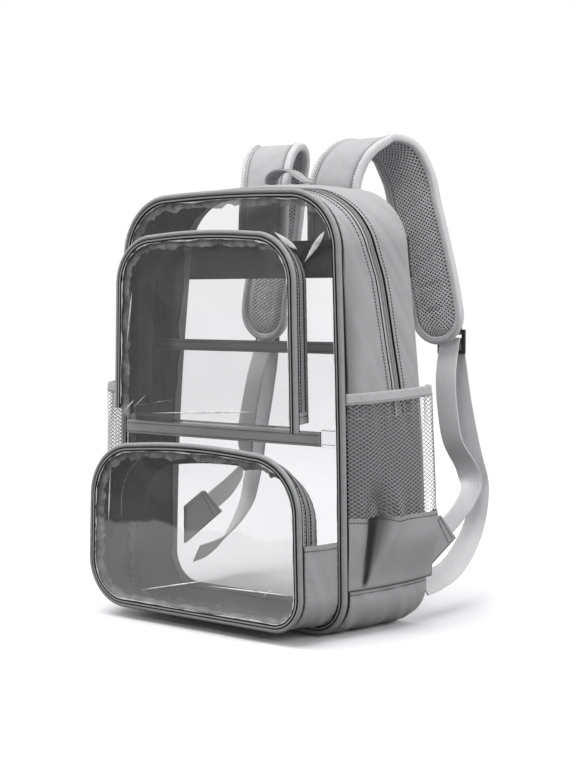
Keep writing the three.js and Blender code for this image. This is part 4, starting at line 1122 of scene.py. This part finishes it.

# Leaf-shaped painted glints on the upper pocket's film.
UPPER_GLINTS = [
    (-97.8, 311.1, 82.1, 27.9, 0.9), (-99.3, 219.7, 42.2, 9.8, 0.8),
    (-84.2, 225.0, 37.4, 11.8, 0.5), (0.8, 217.5, 3.1, 70.2, 0.7),
]
build("upper_pocket_film", [
    *[leaf(*f, -UPPER_DEPTH - 3.4) for f in UPPER_GLINTS],
    film_rim_glint(upper_face, np.linspace(7.1, FULL - 7.1, 400), -UPPER_DEPTH - 1.2, 5.7, 2.0, 1.0),
    film_panel(inset_at(upper_face, 2.6), -UPPER_DEPTH, 3.4, 2.6),
], ["upper_pocket_panel"])
build("upper_seam_allowance", [
    flange(upper_face, -UPPER_DEPTH + 1.6, 4.4, 2.4, 10, np.linspace(3.4, 42.6, 330), False),
])
upper_run = outline(201, 397, 118.5, 115.5, 2, 48, 0, 3, 16)
build("upper_piping_cord", piping_parts(upper_run, np.linspace(7, FULL - 7, 340), -UPPER_DEPTH, 3.2,
                                        False), ["upper_pocket_piping"])
gussets("upper", upper, upper_us, UPPER_LIP, UPPER_MID, upper_half, UPPER_DEPTH, (0.6, 1.6), 9,
        2.6)
build("upper_zipper_tape", zipper_parts(upper, upper_us, UPPER_MID, UPPER_ZIP, 1.7),
      ["upper_zipper"])
block_us = np.linspace(7, UPPER_END - 0.015, 12)
for side, us in (("right", block_us), ("left", FULL - block_us[::-1])):
    end_u = us[-1] if side == "right" else us[0]
    t_line = np.linspace(UPPER_LIP + 0.05, 0.95, 24)
    p, n, _ = upper.at(end_u - (0.22 if side == "right" else -0.22), t_line)
    build("upper_end_block_" + side, [
        pocket_wall(2.2, upper, us, UPPER_LIP, 0.99, UPPER_DEPTH, "trim", 16, ("sewn", "sewn"),
                    0.3),
        stitches(p, n),
    ], ["upper_gusset_end_" + side])


def floor_part():
    """The clear floor of the upper pocket."""
    w = np.linspace(-1, 1, 40)
    y = np.linspace(-UPPER_DEPTH + 3.9, -0.7, 10)
    x = np.broadcast_to(w[:, None] * 95.5, (40, 10))
    z = 203.8 - 0.8 * np.abs(ripple(x, 2.0, 60)) * np.sin(np.linspace(0, np.pi, 10))[None]
    p = np.stack([x, np.broadcast_to(y, x.shape), z], axis=-1)
    return sheet(p, np.tile((0.0, 0.0, -1.0), x.shape + (1,)), 1.0, "film", edge=0.0)


build("upper_floor_film", [floor_part()], ["upper_pocket_floor"])

lower_face = outline(14, 184, 138.5, 136.5, 32, 56, 0, 4, 46)
lower_base = outline(14, 164, 118.5, 116.5, 32, 52, 0, 4, 46)
foot_base = outline(9.2, 184, 144.2, 143.2, 32, 56, 0, 4, 34)
lower = Wall(lower_face, lower_base, -LOWER_DEPTH, -GAP, swell)
foot = Wall(lower_face, foot_base, -LOWER_DEPTH, -1.08,
            lambda nx, nz, t: 2.5 * np.sin(np.pi * np.clip(t, 0, 1)) * np.abs(nx))
LOWER_END = side_at(lower_face, 97)
lower_us = np.linspace(LOWER_END, FULL - LOWER_END, 250)
LOWER_LIP, LOWER_MID = 3.55 / LOWER_DEPTH, 0.44
lower_half = ZIP_WIDTH / 2 / LOWER_DEPTH

# Leaf-shaped painted glints on the lower pocket's film.
LOWER_GLINTS = [
    (77.9, 49.2, 1.5, 51.5, 0.8), (102.6, 49.7, 33.9, 7.4, 0.5),
    (-108.6, 127.0, -93.6, 26.9, 0.8), (-20.5, 42.7, 12.5, 45.4, 0.7),
]
build("lower_pocket_film", [
    *[leaf(*f, -LOWER_DEPTH - 4.4) for f in LOWER_GLINTS],
    film_rim_glint(lower_face, loop_us, -LOWER_DEPTH - 1.2, 5.6, 3.0, 0.95, True),
    film_panel(inset_at(lower_face, 2.6), -LOWER_DEPTH, 6.1, 3.6, slack=0.8, key="film_low"),
], ["lower_pocket_panel"])
build("lower_seam_allowance", [
    flange(lower_face, -LOWER_DEPTH + 1.6, 7.4, 2.4, 11),
])
build("lower_piping_cord", piping_parts(lower_face, loop_us, -LOWER_DEPTH, 3.2),
      ["lower_pocket_piping"])
gussets("lower", lower, lower_us, LOWER_LIP, LOWER_MID, lower_half, LOWER_DEPTH, (3.6, 4.6), 12,
        2.8)
build("lower_zipper_tape", zipper_parts(lower, lower_us, LOWER_MID, ZIP_WIDTH),
      ["lower_zipper"])
foot_end = LOWER_END - 0.02
foot_us = np.linspace(-foot_end, foot_end, 230)
foot_lines = []
for sign in (1, -1):
    p, n, _ = foot.at(sign * (foot_end - 0.42), np.linspace(0.1, 0.96, 40))
    foot_lines.append(stitches(p + n * 0.1, n))
build("lower_foot_cloth", [
    cloth_wall(foot, foot_us, LOWER_LIP, 1, 20, LOWER_DEPTH, 5.5, "pocket_cloth", amp=1.0, wave=66),
    *foot_lines,
], ["lower_foot_gusset"])


# Side pockets

PLAN = np.array([
    # back share, stand-off share
    (0.045, 0.1), (0.13, 0.3), (0.2, 0.48), (0.27, 0.56), (0.34, 0.6), (0.42, 0.68),
    (0.52, 0.76), (0.66, 0.86), (0.8, 0.95), (0.92, 1), (1.0, 0.96), (1.045, 0.7), (1.04, 0.38),
])
POCKET_FOOT, CLOTH_TOP, POCKET_TOP = 46, 115, 239


def spline(table, x):
    """Rows of a table read smoothly at fractional places x."""
    x = np.clip(x, 0, len(table) - 1 - 1e-9)
    i = x.astype(int)
    t = (x - i)[..., None]
    pad = np.concatenate([[2 * table[0] - table[1]], table, [2 * table[-1] - table[-2]]])
    a, b, c, d = pad[i], pad[i + 1], pad[i + 2], pad[i + 3]
    return 0.5 * (2 * b + (c - a) * t + (2 * a - 5 * b + 4 * c - d) * t ** 2
                  + (3 * b - a - 3 * c + d) * t ** 3)


def rise_of(z):
    """Height z as a share of the pocket's cloth."""
    return np.clip((z - POCKET_FOOT) / (CLOTH_TOP - POCKET_FOOT), 0, 1)


def dart(back, z):
    """How deep the pocket is drawn in by its fold, from 0 to 1."""
    rise = rise_of(z)
    middle = 0.2 + 0.1 * rise
    half = np.where(back < middle, 0.012 + 0.065 * rise, 0.015 + 0.085 * rise)
    above = smooth(1 - (z - CLOTH_TOP) / (0.36 * CLOTH_TOP))
    return np.exp(-(((back - middle) / half) ** 2)) * above * (0.3 + 0.7 * rise)


Z_TABLE = np.linspace(30, 300, 600)
side_us = np.linspace(3, HALF, FINE)
U_TABLE = np.interp(Z_TABLE, front_line(side_us)[:, 1], side_us)


def pocket_point(r, z, plan, extra=0.0, gather=0.0):
    """A point of the right pocket's face: r runs along its plan, z is the height."""
    r, z = np.broadcast_arrays(np.asarray(r, float), np.asarray(z, float))
    row = spline(plan, r)
    back, off = row[..., 0], row[..., 1]
    p, n, _ = body.at(np.interp(z, Z_TABLE, U_TABLE), back)
    lean = 0.14 + 0.86 * smooth((z - POCKET_FOOT) / 52)
    puff = 1 + 0.45 * dart(back + 0.14, z) + 0.45 * dart(back - 0.15, z)
    free = np.minimum(16 * off * lean * puff, 30)
    far = np.maximum(np.minimum(2.6, free), free - 15 * dart(back, z))
    return p + n * (far + extra + gather)[..., None]


def pocket_grid(r, z, extra, gather, plan):
    """A grid of the pocket's points with its normals."""
    p = pocket_point(r, z, plan, extra, gather)
    n = unit(np.cross(np.gradient(p, axis=0), np.gradient(p, axis=1)))
    return p, n


def cloth_top(back):
    """Height of the pocket's cloth edge, which wavers along the wall."""
    rise = 2.4 * np.exp(-((back - 0.38) / 0.06) ** 2) - 1.2 * np.exp(-((back - 0.52) / 0.08) ** 2)
    return CLOTH_TOP + 0.8 + rise + 2 * smooth((0.26 - back) / 0.2) + 1.2 * np.sin(5 * back) * back


R = np.linspace(0, 12, 110)


def both(name, parts, nodes):
    """A piece for the right side and its mirror for the left."""
    build(name + "_right", parts, [n + "_right" for n in nodes])
    build(name + "_left", turned(parts, True), [n + "_left" for n in nodes])


def face_parts(plan):
    """The pocket's cloth, its hem, the deep fold near the front and the foot seam, with painted shade
    in the fold and at the foot.
    """
    rows = np.linspace(0, 1, 40)
    backs = spline(plan, R)[:, 0]
    z = POCKET_FOOT + (cloth_top(backs) - POCKET_FOOT)[:, None] * rows[None]
    under_hem = cloth_top(backs)[:, None] - z
    crease = 0.6 * ripple(R * 9, 2.6, 40)[:, None] * np.sin(np.pi * rows)[None]
    crease = crease - 0.5 * np.exp(-((under_hem - 4) / 1.3) ** 2)
    p, n = pocket_grid(R[:, None], z, 0.35, crease, plan)
    rise = rise_of(z)
    # Painted shade in the deep fold and along the foot seam.
    across = backs[:, None] - (0.195 + 0.085 * rise)
    half = np.where(across < 0, 0.02 + 0.065 * rise, 0.02 + 0.125 * rise)
    valley_shade = 0.97 * np.exp(-np.abs(across / half) ** 2.6) * smooth((rise + 0.02) / 0.14)
    painted_shade = np.maximum(np.exp(-(z - POCKET_FOOT) / 1.2), valley_shade)
    hem_line, hem_n = pocket_grid(R[:, None], (cloth_top(backs) - 4)[:, None]
                                  + np.array([-1, 0, 1]), 0.35, 0.0, plan)
    wall_line, wall_n = line_on(body, np.full(80, side_at(front_line, POCKET_FOOT - 3.6)),
                                np.linspace(0.06, 0.985, 80), 0.25)
    return [
        sheet(p, n, 1.4, "pocket_cloth", "lining_light", edge=0.2, painted_shade=painted_shade),
        stitches(hem_line[:, 1], hem_n[:, 1]),
        stitches(wall_line, wall_n),
    ]


def net_parts(plan):
    """Knitted net: zigzag threads that meet at their bends, over the pocket's face."""
    pitch, high, under = 3.5, 2.0, -1.6
    fine_r = np.linspace(0, 12, 240)
    run = distance_along(pocket_point(fine_r, 170.0, plan))
    levels = np.arange(0, 126, high)
    parts = []
    for k in range(int(run[-1] / pitch)):
        swing = np.where((np.arange(len(levels)) + k) % 2, 0.5, -0.5) * pitch * 0.9
        at = np.clip(pitch * (k + 0.5) + swing, 0, run[-1])
        r = np.interp(at, run, fine_r)
        back = spline(plan, r)[:, 0]
        z = cloth_top(back) - 1.5 + levels
        keep = z < POCKET_TOP - 9 + 2 * back
        r, z, at, back = r[keep], z[keep], at[keep], back[keep]
        near_top = smooth((z - 190) / 38)
        near_foot = smooth((cloth_top(back) + 34 - z) / 34)
        pleat = 1.7 * near_top * ripple(at, 4.0, 17) + 1.5 * near_foot * ripple(at, 1.0, 26)
        p = pocket_point(r, z, plan, under, pleat)
        if len(p) < 3:
            continue
        t = unit(np.gradient(p, axis=0))
        ahead, behind = (pocket_point(np.clip(r + step, 0, 12), z, plan, under)
                         for step in (0.05, -0.05))
        n = unit(np.cross(ahead - behind, (0, 0, 1.0)))
        a = unit(np.cross(n, t))
        parts.append(sweep(p, a, n, circle(1, 4) * (0.56, 0.4), "net"))
    return parts


def edge_parts(plan):
    """The elastic binding along the pocket's mouth."""
    backs = spline(plan, R)[:, 0]
    wide = 11
    foot_z = (POCKET_TOP - wide + 2 * backs)[:, None]
    band = np.linspace(0, 1, 11)[None]
    z = foot_z + wide * band
    round_edge = -0.5 * (1 - np.sqrt(np.clip(1 - (2 * band - 1) ** 6, 0, 1)))
    stretch = 0.35 * ripple(R * 9, 5.0, 12)[:, None] * np.sin(np.pi * band)
    p, n = pocket_grid(R[:, None], z, -0.6, round_edge + stretch, plan)
    low_line, low_n = pocket_grid(R[:, None], foot_z + np.array([1.4, 2.2, 3.0]), -0.6, 0.0, plan)
    return [
        sheet(p, n, 2.2, "elastic", edge=0.4),
        stitches(low_line[:, 1], low_n[:, 1], key="thread_light"),
    ]


# The left pocket hangs open, so its mesh stands off the wall from the front seam on.
OPEN_PLAN = np.array([
    (0.045, 0.25), (0.085, 1.15), (0.14, 1.85), (0.22, 2.08), (0.31, 2.05), (0.42, 1.9),
    (0.54, 1.7), (0.67, 1.48), (0.8, 1.27), (0.92, 1.12), (1.0, 0.98), (1.045, 0.7), (1.04, 0.38),
])
for kind, make, slot, node in (
        ("face", face_parts, "body_cloth", "side_pocket_cloth"),
        ("net", net_parts, "pocket_mesh", "side_pocket_mesh"),
        ("edge", edge_parts, "elastic_binding", "side_pocket_binding")):
    build("side_pocket_" + kind + "_right", make(PLAN), [node + "_right"])
    build("side_pocket_" + kind + "_left", turned(make(OPEN_PLAN), True), [node + "_left"])


# Straps

def catmull(points, t):
    """Centripetal Catmull-Rom through points at t from 0 to 1, evenly by span."""
    points = np.asarray(points, float)
    last = len(points) - 1
    where = np.clip(t, 0, 1) * last
    i = np.minimum(where.astype(int), last - 1)
    w = (where - i)[:, None]
    pad = np.concatenate([[2 * points[0] - points[1]], points, [2 * points[-1] - points[-2]]])
    a, b, c, d = pad[i], pad[i + 1], pad[i + 2], pad[i + 3]
    gap0, gap1, gap2 = (np.maximum(np.linalg.norm(y - x, axis=1) ** 0.5, 1e-4)[:, None]
                        for x, y in ((a, b), (b, c), (c, d)))
    m1 = ((b - a) / gap0 - (c - a) / (gap0 + gap1) + (c - b) / gap1) * gap1
    m2 = ((c - b) / gap1 - (d - b) / (gap1 + gap2) + (d - c) / gap2) * gap1
    return (b + m1 * w + (-3 * b + 3 * c - 2 * m1 - m2) * w ** 2
            + (2 * b - 2 * c + m1 + m2) * w ** 3)


def frames_along(points, turns, count):
    """Points, side, up and forward vectors along a smooth path; turns are in degrees."""
    s = np.linspace(0, 1, count + 1)
    p = catmull(points, s)
    t = unit(catmull(points, s + 1e-4) - catmull(points, s - 1e-4))
    roll = np.radians(np.interp(s * (len(turns) - 1), np.arange(len(turns)), turns))[:, None]
    level = unit(np.array([1.0, 0, 0]) - t * t[:, :1])
    across = np.cross(t, level)
    a = level * np.cos(roll) + across * np.sin(roll)
    return p, a, unit(np.cross(a, t)), t


STRAP = [
    # out, back, up, turn
    (0.327, 0.0885, -0.152, 0), (0.325, 0.09, -0.06, 0), (0.32, 0.115, 0.25, 0),
    (0.353, 0.23, 0.69, 0), (0.4, 0.4, 0.93, 0), (0.447, 0.59, 1, 0), (0.52, 0.78, 0.83, 0),
    (0.585, 0.89, 0.42, 1), (0.635, 0.925, -0.02, 2), (0.707, 0.96, -0.127, 2),
    (0.787, 0.965, -0.242, 2), (0.833, 1, -0.357, 2),
]
STRAP_OUT, STRAP_RISE = 104, 61
strap_points = [(o * FOOT_HALF, DEPTH + b * STRAP_OUT, HEIGHT + u * (STRAP_RISE if u > 0 else HEIGHT))
                for o, b, u, _ in STRAP]
sp, sa, sb, st = frames_along(strap_points, [row[3] for row in STRAP], 260)
strap_run = distance_along(sp)
STRAP_LENGTH = strap_run[-1]
STRAP_W, PAD_T, RIM_W = 67, 8.4, 9
STRAP_TIP = STRAP_LENGTH - STRAP_W / 2


def strap_at(s):
    """Points on the strap's middle line at distances s, and its side, up and forward."""
    s = np.clip(s, 0, STRAP_LENGTH)
    side, up, ahead = (unit(read_at(s, strap_run, v)) for v in (sa, sb, st))
    return read_at(s, strap_run, sp), side, up, ahead


PAD_HALF = STRAP_W / 2 - RIM_W + 0.6
pad_s = np.concatenate([np.linspace(0, STRAP_TIP, 170),
                        STRAP_TIP + PAD_HALF * np.sin(np.linspace(0.1, 1.5, 14))])
over = np.clip((pad_s - STRAP_TIP) / PAD_HALF, 0, 1)
pad_half = PAD_HALF * np.sqrt(np.maximum(1 - over ** 2, 0.0))
pp, pa, pb, _ = strap_at(pad_s)


def pad_face(sign, crown, base, key, seed, thick, box=None):
    """One face of the strap: crowned between its bindings, pulled down at its rim.

    A sewn box (its middle along the strap and its two half sides) sinks a little. Painted shade
    darkens the rim and the box's outline."""
    w = np.linspace(-1, 1, 31)
    w = np.sign(w) * (1 - (1 - np.abs(w)) ** 1.25)
    side = w[None] * pad_half[:, None]
    rim = pad_half[:, None] - np.abs(side)
    tip = np.maximum(STRAP_TIP + PAD_HALF - pad_s, 0)[:, None]
    rim = np.minimum(rim, tip)
    high = base + crown * smooth(rim / 9) - 0.9 * (1 - smooth(rim / 2.5))
    high = high + 0.25 * ripple(pad_s[:, None] + 0.5 * side, seed, 33) * smooth(rim / 8)
    # Painted shade along the rim, where the face tucks under its binding.
    dark = np.exp(-rim / 1.3)
    if box:
        middle, half_s, half_w = box
        off = np.maximum(np.abs(pad_s[:, None] - middle) - half_s, np.abs(side) - half_w)
        high = high - 0.8 * np.exp(-(off / 2.2) ** 2)
        # Painted shade round the sunken box.
        dark = np.maximum(dark, 0.55 * np.exp(-(off / 2.0) ** 2))
    p = pp[:, None] + pa[:, None] * side[..., None] + pb[:, None] * (sign * high)[..., None]
    n = np.broadcast_to(sign * pb[:, None], p.shape)
    return sheet(p, n, thick, key, edge=0.0, painted_shade=dark)


# The binding runs down one edge, round the tip and up the other.
rim_half = STRAP_W / 2 - RIM_W / 2
turn = np.linspace(0, np.pi, 26)
straight = np.linspace(0, STRAP_TIP, 150)[:-1]
rim_s = np.concatenate([straight, STRAP_TIP + rim_half * np.sin(turn), straight[::-1]])
rim_w = np.concatenate([0 * straight + rim_half, rim_half * np.cos(turn), 0 * straight - rim_half])
rim_ts = np.concatenate([0 * straight + 1, np.cos(turn), 0 * straight - 1])[:, None]
rim_tw = np.concatenate([0 * straight, -np.sin(turn), 0 * straight])[:, None]
fp, fa, fb, ft = strap_at(rim_s)
rim_p, rim_a = fp + fa * rim_w[:, None], unit(fa * rim_ts - ft * rim_tw)
ring = []
for k in range(22):
    g = 2 * np.pi * (k + 0.5) / 22
    c, d = np.cos(g), np.sin(g)
    ring.append((RIM_W / 2 * np.sign(c) * abs(c) ** 0.75, 4.9 * np.sign(d) * abs(d) ** 0.8))
ring = np.array(ring)
breathe = 1 + 0.02 * ripple(np.arange(len(rim_s)) * 1.7, 1.0, 12)
binding = sweep(rim_p, rim_a, fb, ring[None] * np.stack([ones(breathe), breathe], 1)[:, None],
                "binding")
rim_stitch = []
for off, sign in ((-2.7, 1), (-0.9, 1), (-2.4, -1)):
    line = rim_p + rim_a * off + fb * sign * 4.35
    rim_stitch.append(stitches(line, fb * sign, key="thread_light"))


def patch_lines(centre_s, half_s, half_w, high):
    """A sewn box with a cross in it, on the strap's outer face."""
    corners = [(-1, -1), (1, -1), (1, 1), (-1, 1), (-1, -1), (1, 1)]
    parts = []
    for (a, b), (c, d) in list(zip(corners[:-1], corners[1:])) + [((1, -1), (-1, 1))]:
        k = np.linspace(0, 1, 14)
        s, w = centre_s + half_s * (a + (c - a) * k), half_w * (b + (d - b) * k)
        p, side, up, _ = strap_at(s)
        parts.append(stitches(p + side * w[:, None] + up * high, up, 3.0, "thread_light"))
    return parts


BOX = (STRAP_LENGTH - 51, 14, 11)
both("strap_air_mesh", [pad_face(-1, 1.5, 2.7, "air_mesh", 1.4, 1.2, BOX)],
     ["strap_pad"])
both("strap_face", [pad_face(1, 1.2, 3.3, "light_cloth", 3.4, 1.6)]
     + patch_lines(STRAP_LENGTH - 47, 15, 12, 4.55), ["strap_cover"])
both("strap_rim", [binding] + rim_stitch, ["strap_binding"])


# Webbing, loops and tabs

tip = strap_at(STRAP_LENGTH)[0]
LOCK = (tip[0] + 5, tip[1] + 13, tip[2] + 3)
# Radius of the webbing's middle where it turns round a bar of the adjuster.
TURN_R = 1.7 + 0.98 + 0.8


def around(x, z, rise):
    """Half a turn round a bar, from its rear to its front."""
    g = np.radians([-90, -45, 0, 45, 90])
    return [(x, LOCK[1] + TURN_R * math.sin(v), z + rise * TURN_R * math.cos(v)) for v in g]


UP = [
    # out, back (mm from the adjuster), rise (share of its height), turn
    (34, -67, 0.318, 90), (34, -51, 0.344, 90), (33, -33, 0.378, 86), (32, -14, 0.43, 70),
    (30, -7, 0.475, 38), (26, -11, 0.53, 12), (16, -21, 0.62, 0), (8, -21, 0.755, 0),
    (3.5, -17, 0.86, 0), (1, -9, 0.95, 0),
]
DOWN = [
    (1, TURN_R + 3, 0.95, 0), (10, 7, 0.757, 0), (21, 8, 0.585, 0), (29, 11, 0.465, 0),
    (31, 7, 0.39, 0), (31, -1, 0.31, -6), (31, -19, 0.232, -20), (30, -46, 0.162, -40),
    (28, -74, 0.133, -55), (27, -98, 0.124, -58),
]


def leg(rows):
    """Points of the webbing's course, counted from the adjuster."""
    return [(LOCK[0] + out, LOCK[1] + back, LOCK[2] * rise) for out, back, rise, _ in rows]


web_points = leg(UP) + around(LOCK[0], LOCK[2], 1) + leg(DOWN)
web_turns = [r[3] for r in UP] + [0] * 5 + [r[3] for r in DOWN]
wp, wa, wb, wt = frames_along(web_points, web_turns, 320)
both("webbing_band", [sweep(wp, wa, wb, slab(25, 1.6, 5), "webbing")], ["webbing"])

near_p, _, near_b, _ = strap_at(STRAP_LENGTH - STRAP_W * 0.62)
start = near_p + near_b * (PAD_T * 0.58 + 1.2 + 0.8)
bar_z = LOCK[2] + 11.5
half_x = start[0] * 0.4 + LOCK[0] * 0.6
loop_points = [
    (start[0] + 1, start[1], start[2]), (half_x, LOCK[1] - TURN_R, bar_z + 8),
    *around(LOCK[0], bar_z, -1), (half_x, LOCK[1] + TURN_R - 1, bar_z + 8),
    (start[0] + 1, start[1] + 2.3, start[2]),
]
lp, la, lb, _ = frames_along(loop_points, [0] * len(loop_points), 90)
both("lock_loop_band", [sweep(lp, la, lb, slab(24, 1.6, 5), "webbing")], ["lock_loop"])

# Tab: cloth folded double round the end of the webbing, with a slanted mouth.
tab_p0, tab_a, tab_b, tab_t = wp[0], wa[0], wb[0], wt[0]


def tab_point(along_tab, side, ply):
    """A point of the tab: 0 to 1 from its root to its mouth, -1 to 1 across and by ply."""
    end = tab_p0 + tab_t * 5 + tab_a * side * 19 + tab_t * side * 8
    root = end - tab_t * ((end[1] - (DEPTH + 5.2)) / tab_t[1])
    return root * (1 - along_tab) + end * along_tab + tab_b * ply * (0.8 + 0.35 + 1.1)


path = [(a, 1.0) for a in np.linspace(1, 0.04, 20)] + [(0.0, 0.4), (0.0, -0.4)] + [
    (a, -1.0) for a in np.linspace(0.04, 1, 20)]
grid = np.array([[tab_point(a, s, q) for s in np.linspace(-1, 1, 17)] for a, q in path])
normals = []
for a, q in path:
    v = tab_b * (q if a < 0.02 else np.sign(q)) - (tab_t if a < 0.02 else 0)
    normals.append(np.tile(unit(v), (17, 1)))
puffed = grid + np.array(normals) * (0.25 * ripple(np.arange(17) * 2.4, 1.1, 17))[None, :, None]
tab_lines = []
for q in (1, -1):
    for (a0, s0), (a1, s1) in (((0.93, -0.9), (0.93, 0.9)), ((0.08, -0.9), (0.93, -0.9)),
                               ((0.08, 0.9), (0.93, 0.9)), ((0.80, -0.9), (0.80, 0.9))):
        line = np.array([tab_point(a0 + (a1 - a0) * v, s0 + (s1 - s0) * v, q)
                         for v in np.linspace(0, 1, 20)])
        tab_lines.append(stitches(line + tab_b * q * 0.1, np.tile(tab_b * q, (20, 1))))
both("strap_tab_cloth", [sheet(puffed, np.array(normals), 1.1, "trim", edge=0.15)] + tab_lines,
     ["strap_tab"])


# Carrying loop

head_flat = FOOT_HALF - 8 - HEAD_RADIUS
GRIP_HALF, GRIP_HIGH, GRIP_BACK = 36, 14, 0.87


def top_at(x):
    """Height of the body's top at x, on the carrying loop's line."""
    return body.point(HALF - 3 * x / head_flat, GRIP_BACK)[..., 2]


GRIP = np.array([(-0.5, 0), (-0.48, 0.45), (-0.3, 0.86), (0, 1), (0.3, 0.9), (0.58, 0.5),
                 (0.8, 0.2), (0.96, 0.06)])
grip_x = GRIP[:, 0] * GRIP_HALF
grip = np.stack([grip_x, DEPTH * GRIP_BACK * ones(grip_x),
                 top_at(grip_x) + 1.39 + GRIP[:, 1] * GRIP_HIGH], axis=1)
gp, _, _, gt = frames_along(grip, [0] * len(grip), 90)
ga = facing([len(gp)], 1.0)
gb = unit(np.cross(ga, gt))
gb = gb * np.sign(gb[45, 2])
lines = [stitches(gp + ga * off + gb, gb, 3.0) for off in (-9.3, 9.3)]
build("top_handle_band", [sweep(gp, ga, gb, slab(23, 2.08, 5), "trim")] + lines,
      ["top_handle"])


# Sliders

def slider(name, w, u, share, pull, nodes):
    """A zipper slider with its bridge, and a pull with an eye lying along the zipper."""
    p, n, d = (np.asarray(x[0]) for x in w.at(np.array([u]), np.array([share])))
    run = np.cross(d, n)
    run = run * (-1 if run[2] > 0 else 1)
    centre = p + n * (2.1 + 0.35 - 1.2 + 1.4)

    def laid(rows):
        """Slabs along the zipper, each with its place, width, thickness and lift."""
        return (np.array([centre + run * r[0] + n * r[3] for r in rows]),
                np.tile(d, (len(rows), 1)), np.tile(n, (len(rows), 1)),
                np.array([slab(r[1], r[2], 3) for r in rows]))

    shell = [(-5.2, 4.2, 1.8, 0), (-4.6, 5.6, 2.4, 0), (-2.2, 8.4, 2.8, 0), (2.6, 8.6, 2.8, 0),
             (4.4, 6.8, 2.5, 0), (5.1, 5.4, 1.8, 0)]
    parts = [sweep(*laid(shell), "metal")]
    turn = np.linspace(0, np.pi, 14)
    arch = np.stack([centre + run * (4.0 * math.cos(g)) + n * (1.0 + 2.3 * math.sin(g))
                     for g in turn])
    out = np.stack([run * math.cos(g) + n * math.sin(g) for g in turn])
    parts.append(sweep(arch, np.tile(d, (14, 1)), out, slab(3.0, 1.1, 1), "metal"))
    build(name + "_body", parts, nodes[:1])
    eye = [(5.6, 3.4, 1.3, 0.4), (7.5, 4.8, 1.5, 0.2), (pull * 0.5, 6.6, 1.7, 0),
           (pull - 1, 7.6, 1.8, 0), (pull + 2.2, 6.6, 1.7, 0), (pull + 3.2, 4.4, 1.2, 0)]
    parts = [sweep(*laid(eye), "metal")]
    g = np.linspace(0, 2 * np.pi, 25)[:-1]
    ring_p = np.stack([centre + run * (pull * 0.72 + 3.2 * math.cos(v)) + d * 1.9 * math.sin(v)
                       + n * 0.95 for v in g])
    ring_a = np.stack([run * math.cos(v) + d * math.sin(v) for v in g])
    parts.append(sweep(ring_p, ring_a, np.tile(n, (24, 1)), circle(0.55, 6), "metal", loop=True))
    g = np.linspace(0, 2 * np.pi, 21)[:-1]
    link = np.stack([centre + run * (4.7 + 2.3 * math.cos(v)) + n * (1.1 + 1.0 * math.sin(v))
                     + d * 1.5 * math.sin(v) for v in g])
    link_a = unit(link - link.mean(axis=0))
    parts.append(sweep(link, link_a, unit(np.cross(link_a, np.gradient(link, axis=0))),
                       circle(0.5, 6), "metal", loop=True))
    build(name + "_pull_tab", parts, nodes[1:])


slider("upper_slider", upper, FULL - side_at(upper_face, 228), UPPER_MID, 24,
       ["upper_slider", "upper_slider_pull"])
slider("lower_slider", lower, FULL - side_at(lower_face, 106), LOWER_MID, 26,
       ["lower_slider", "lower_slider_pull"])
main_u = FULL - side_at(front_line, 273)
slider("main_slider", body, main_u, float(zip_share(np.array([main_u]))[0]), 26,
       ["main_slider", "main_slider_pull"])

for side in ("right", "left"):
    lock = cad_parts["ladder_lock_" + side]
    lock.data.materials.clear()
    lock.data.materials.append(MAT["plastic"])
    round_off = lock.modifiers.new("rounded", "BEVEL")
    round_off.width, round_off.segments, round_off.limit_method = 0.0007, 3, "ANGLE"


# Stitching along the body's seams

seams = []
for t in (zip_mid - zip_half - 5 / DEPTH, zip_mid + zip_half + 5 / DEPTH):
    p, n = line_on(body, zip_us, t, 0.1)
    p[:, 2] = np.maximum(p[:, 2], 0.5)
    seams.append(stitches(p, n))
build("body_seam_stitching", seams)


# Floor

floor_mesh = bpy.data.meshes.new("floor")
floor_mesh.from_pydata([(-40, -40, 0), (40, -40, 0), (40, 40, 0), (-40, 40, 0)], [], [(0, 1, 2, 3)])
floor = bpy.data.objects.new("floor", floor_mesh)
bpy.context.scene.collection.objects.link(floor)
floor.location.z = -0.0006
n = Nodes("pale_floor")
near = n.add("LightPath").outputs["Is Camera Ray"]
floor_mesh.materials.append(n.done(n.surface(
    color=n.mix(near, grey(0.16), grey(0.98)), rough=0.5, specular=0.1,
)))
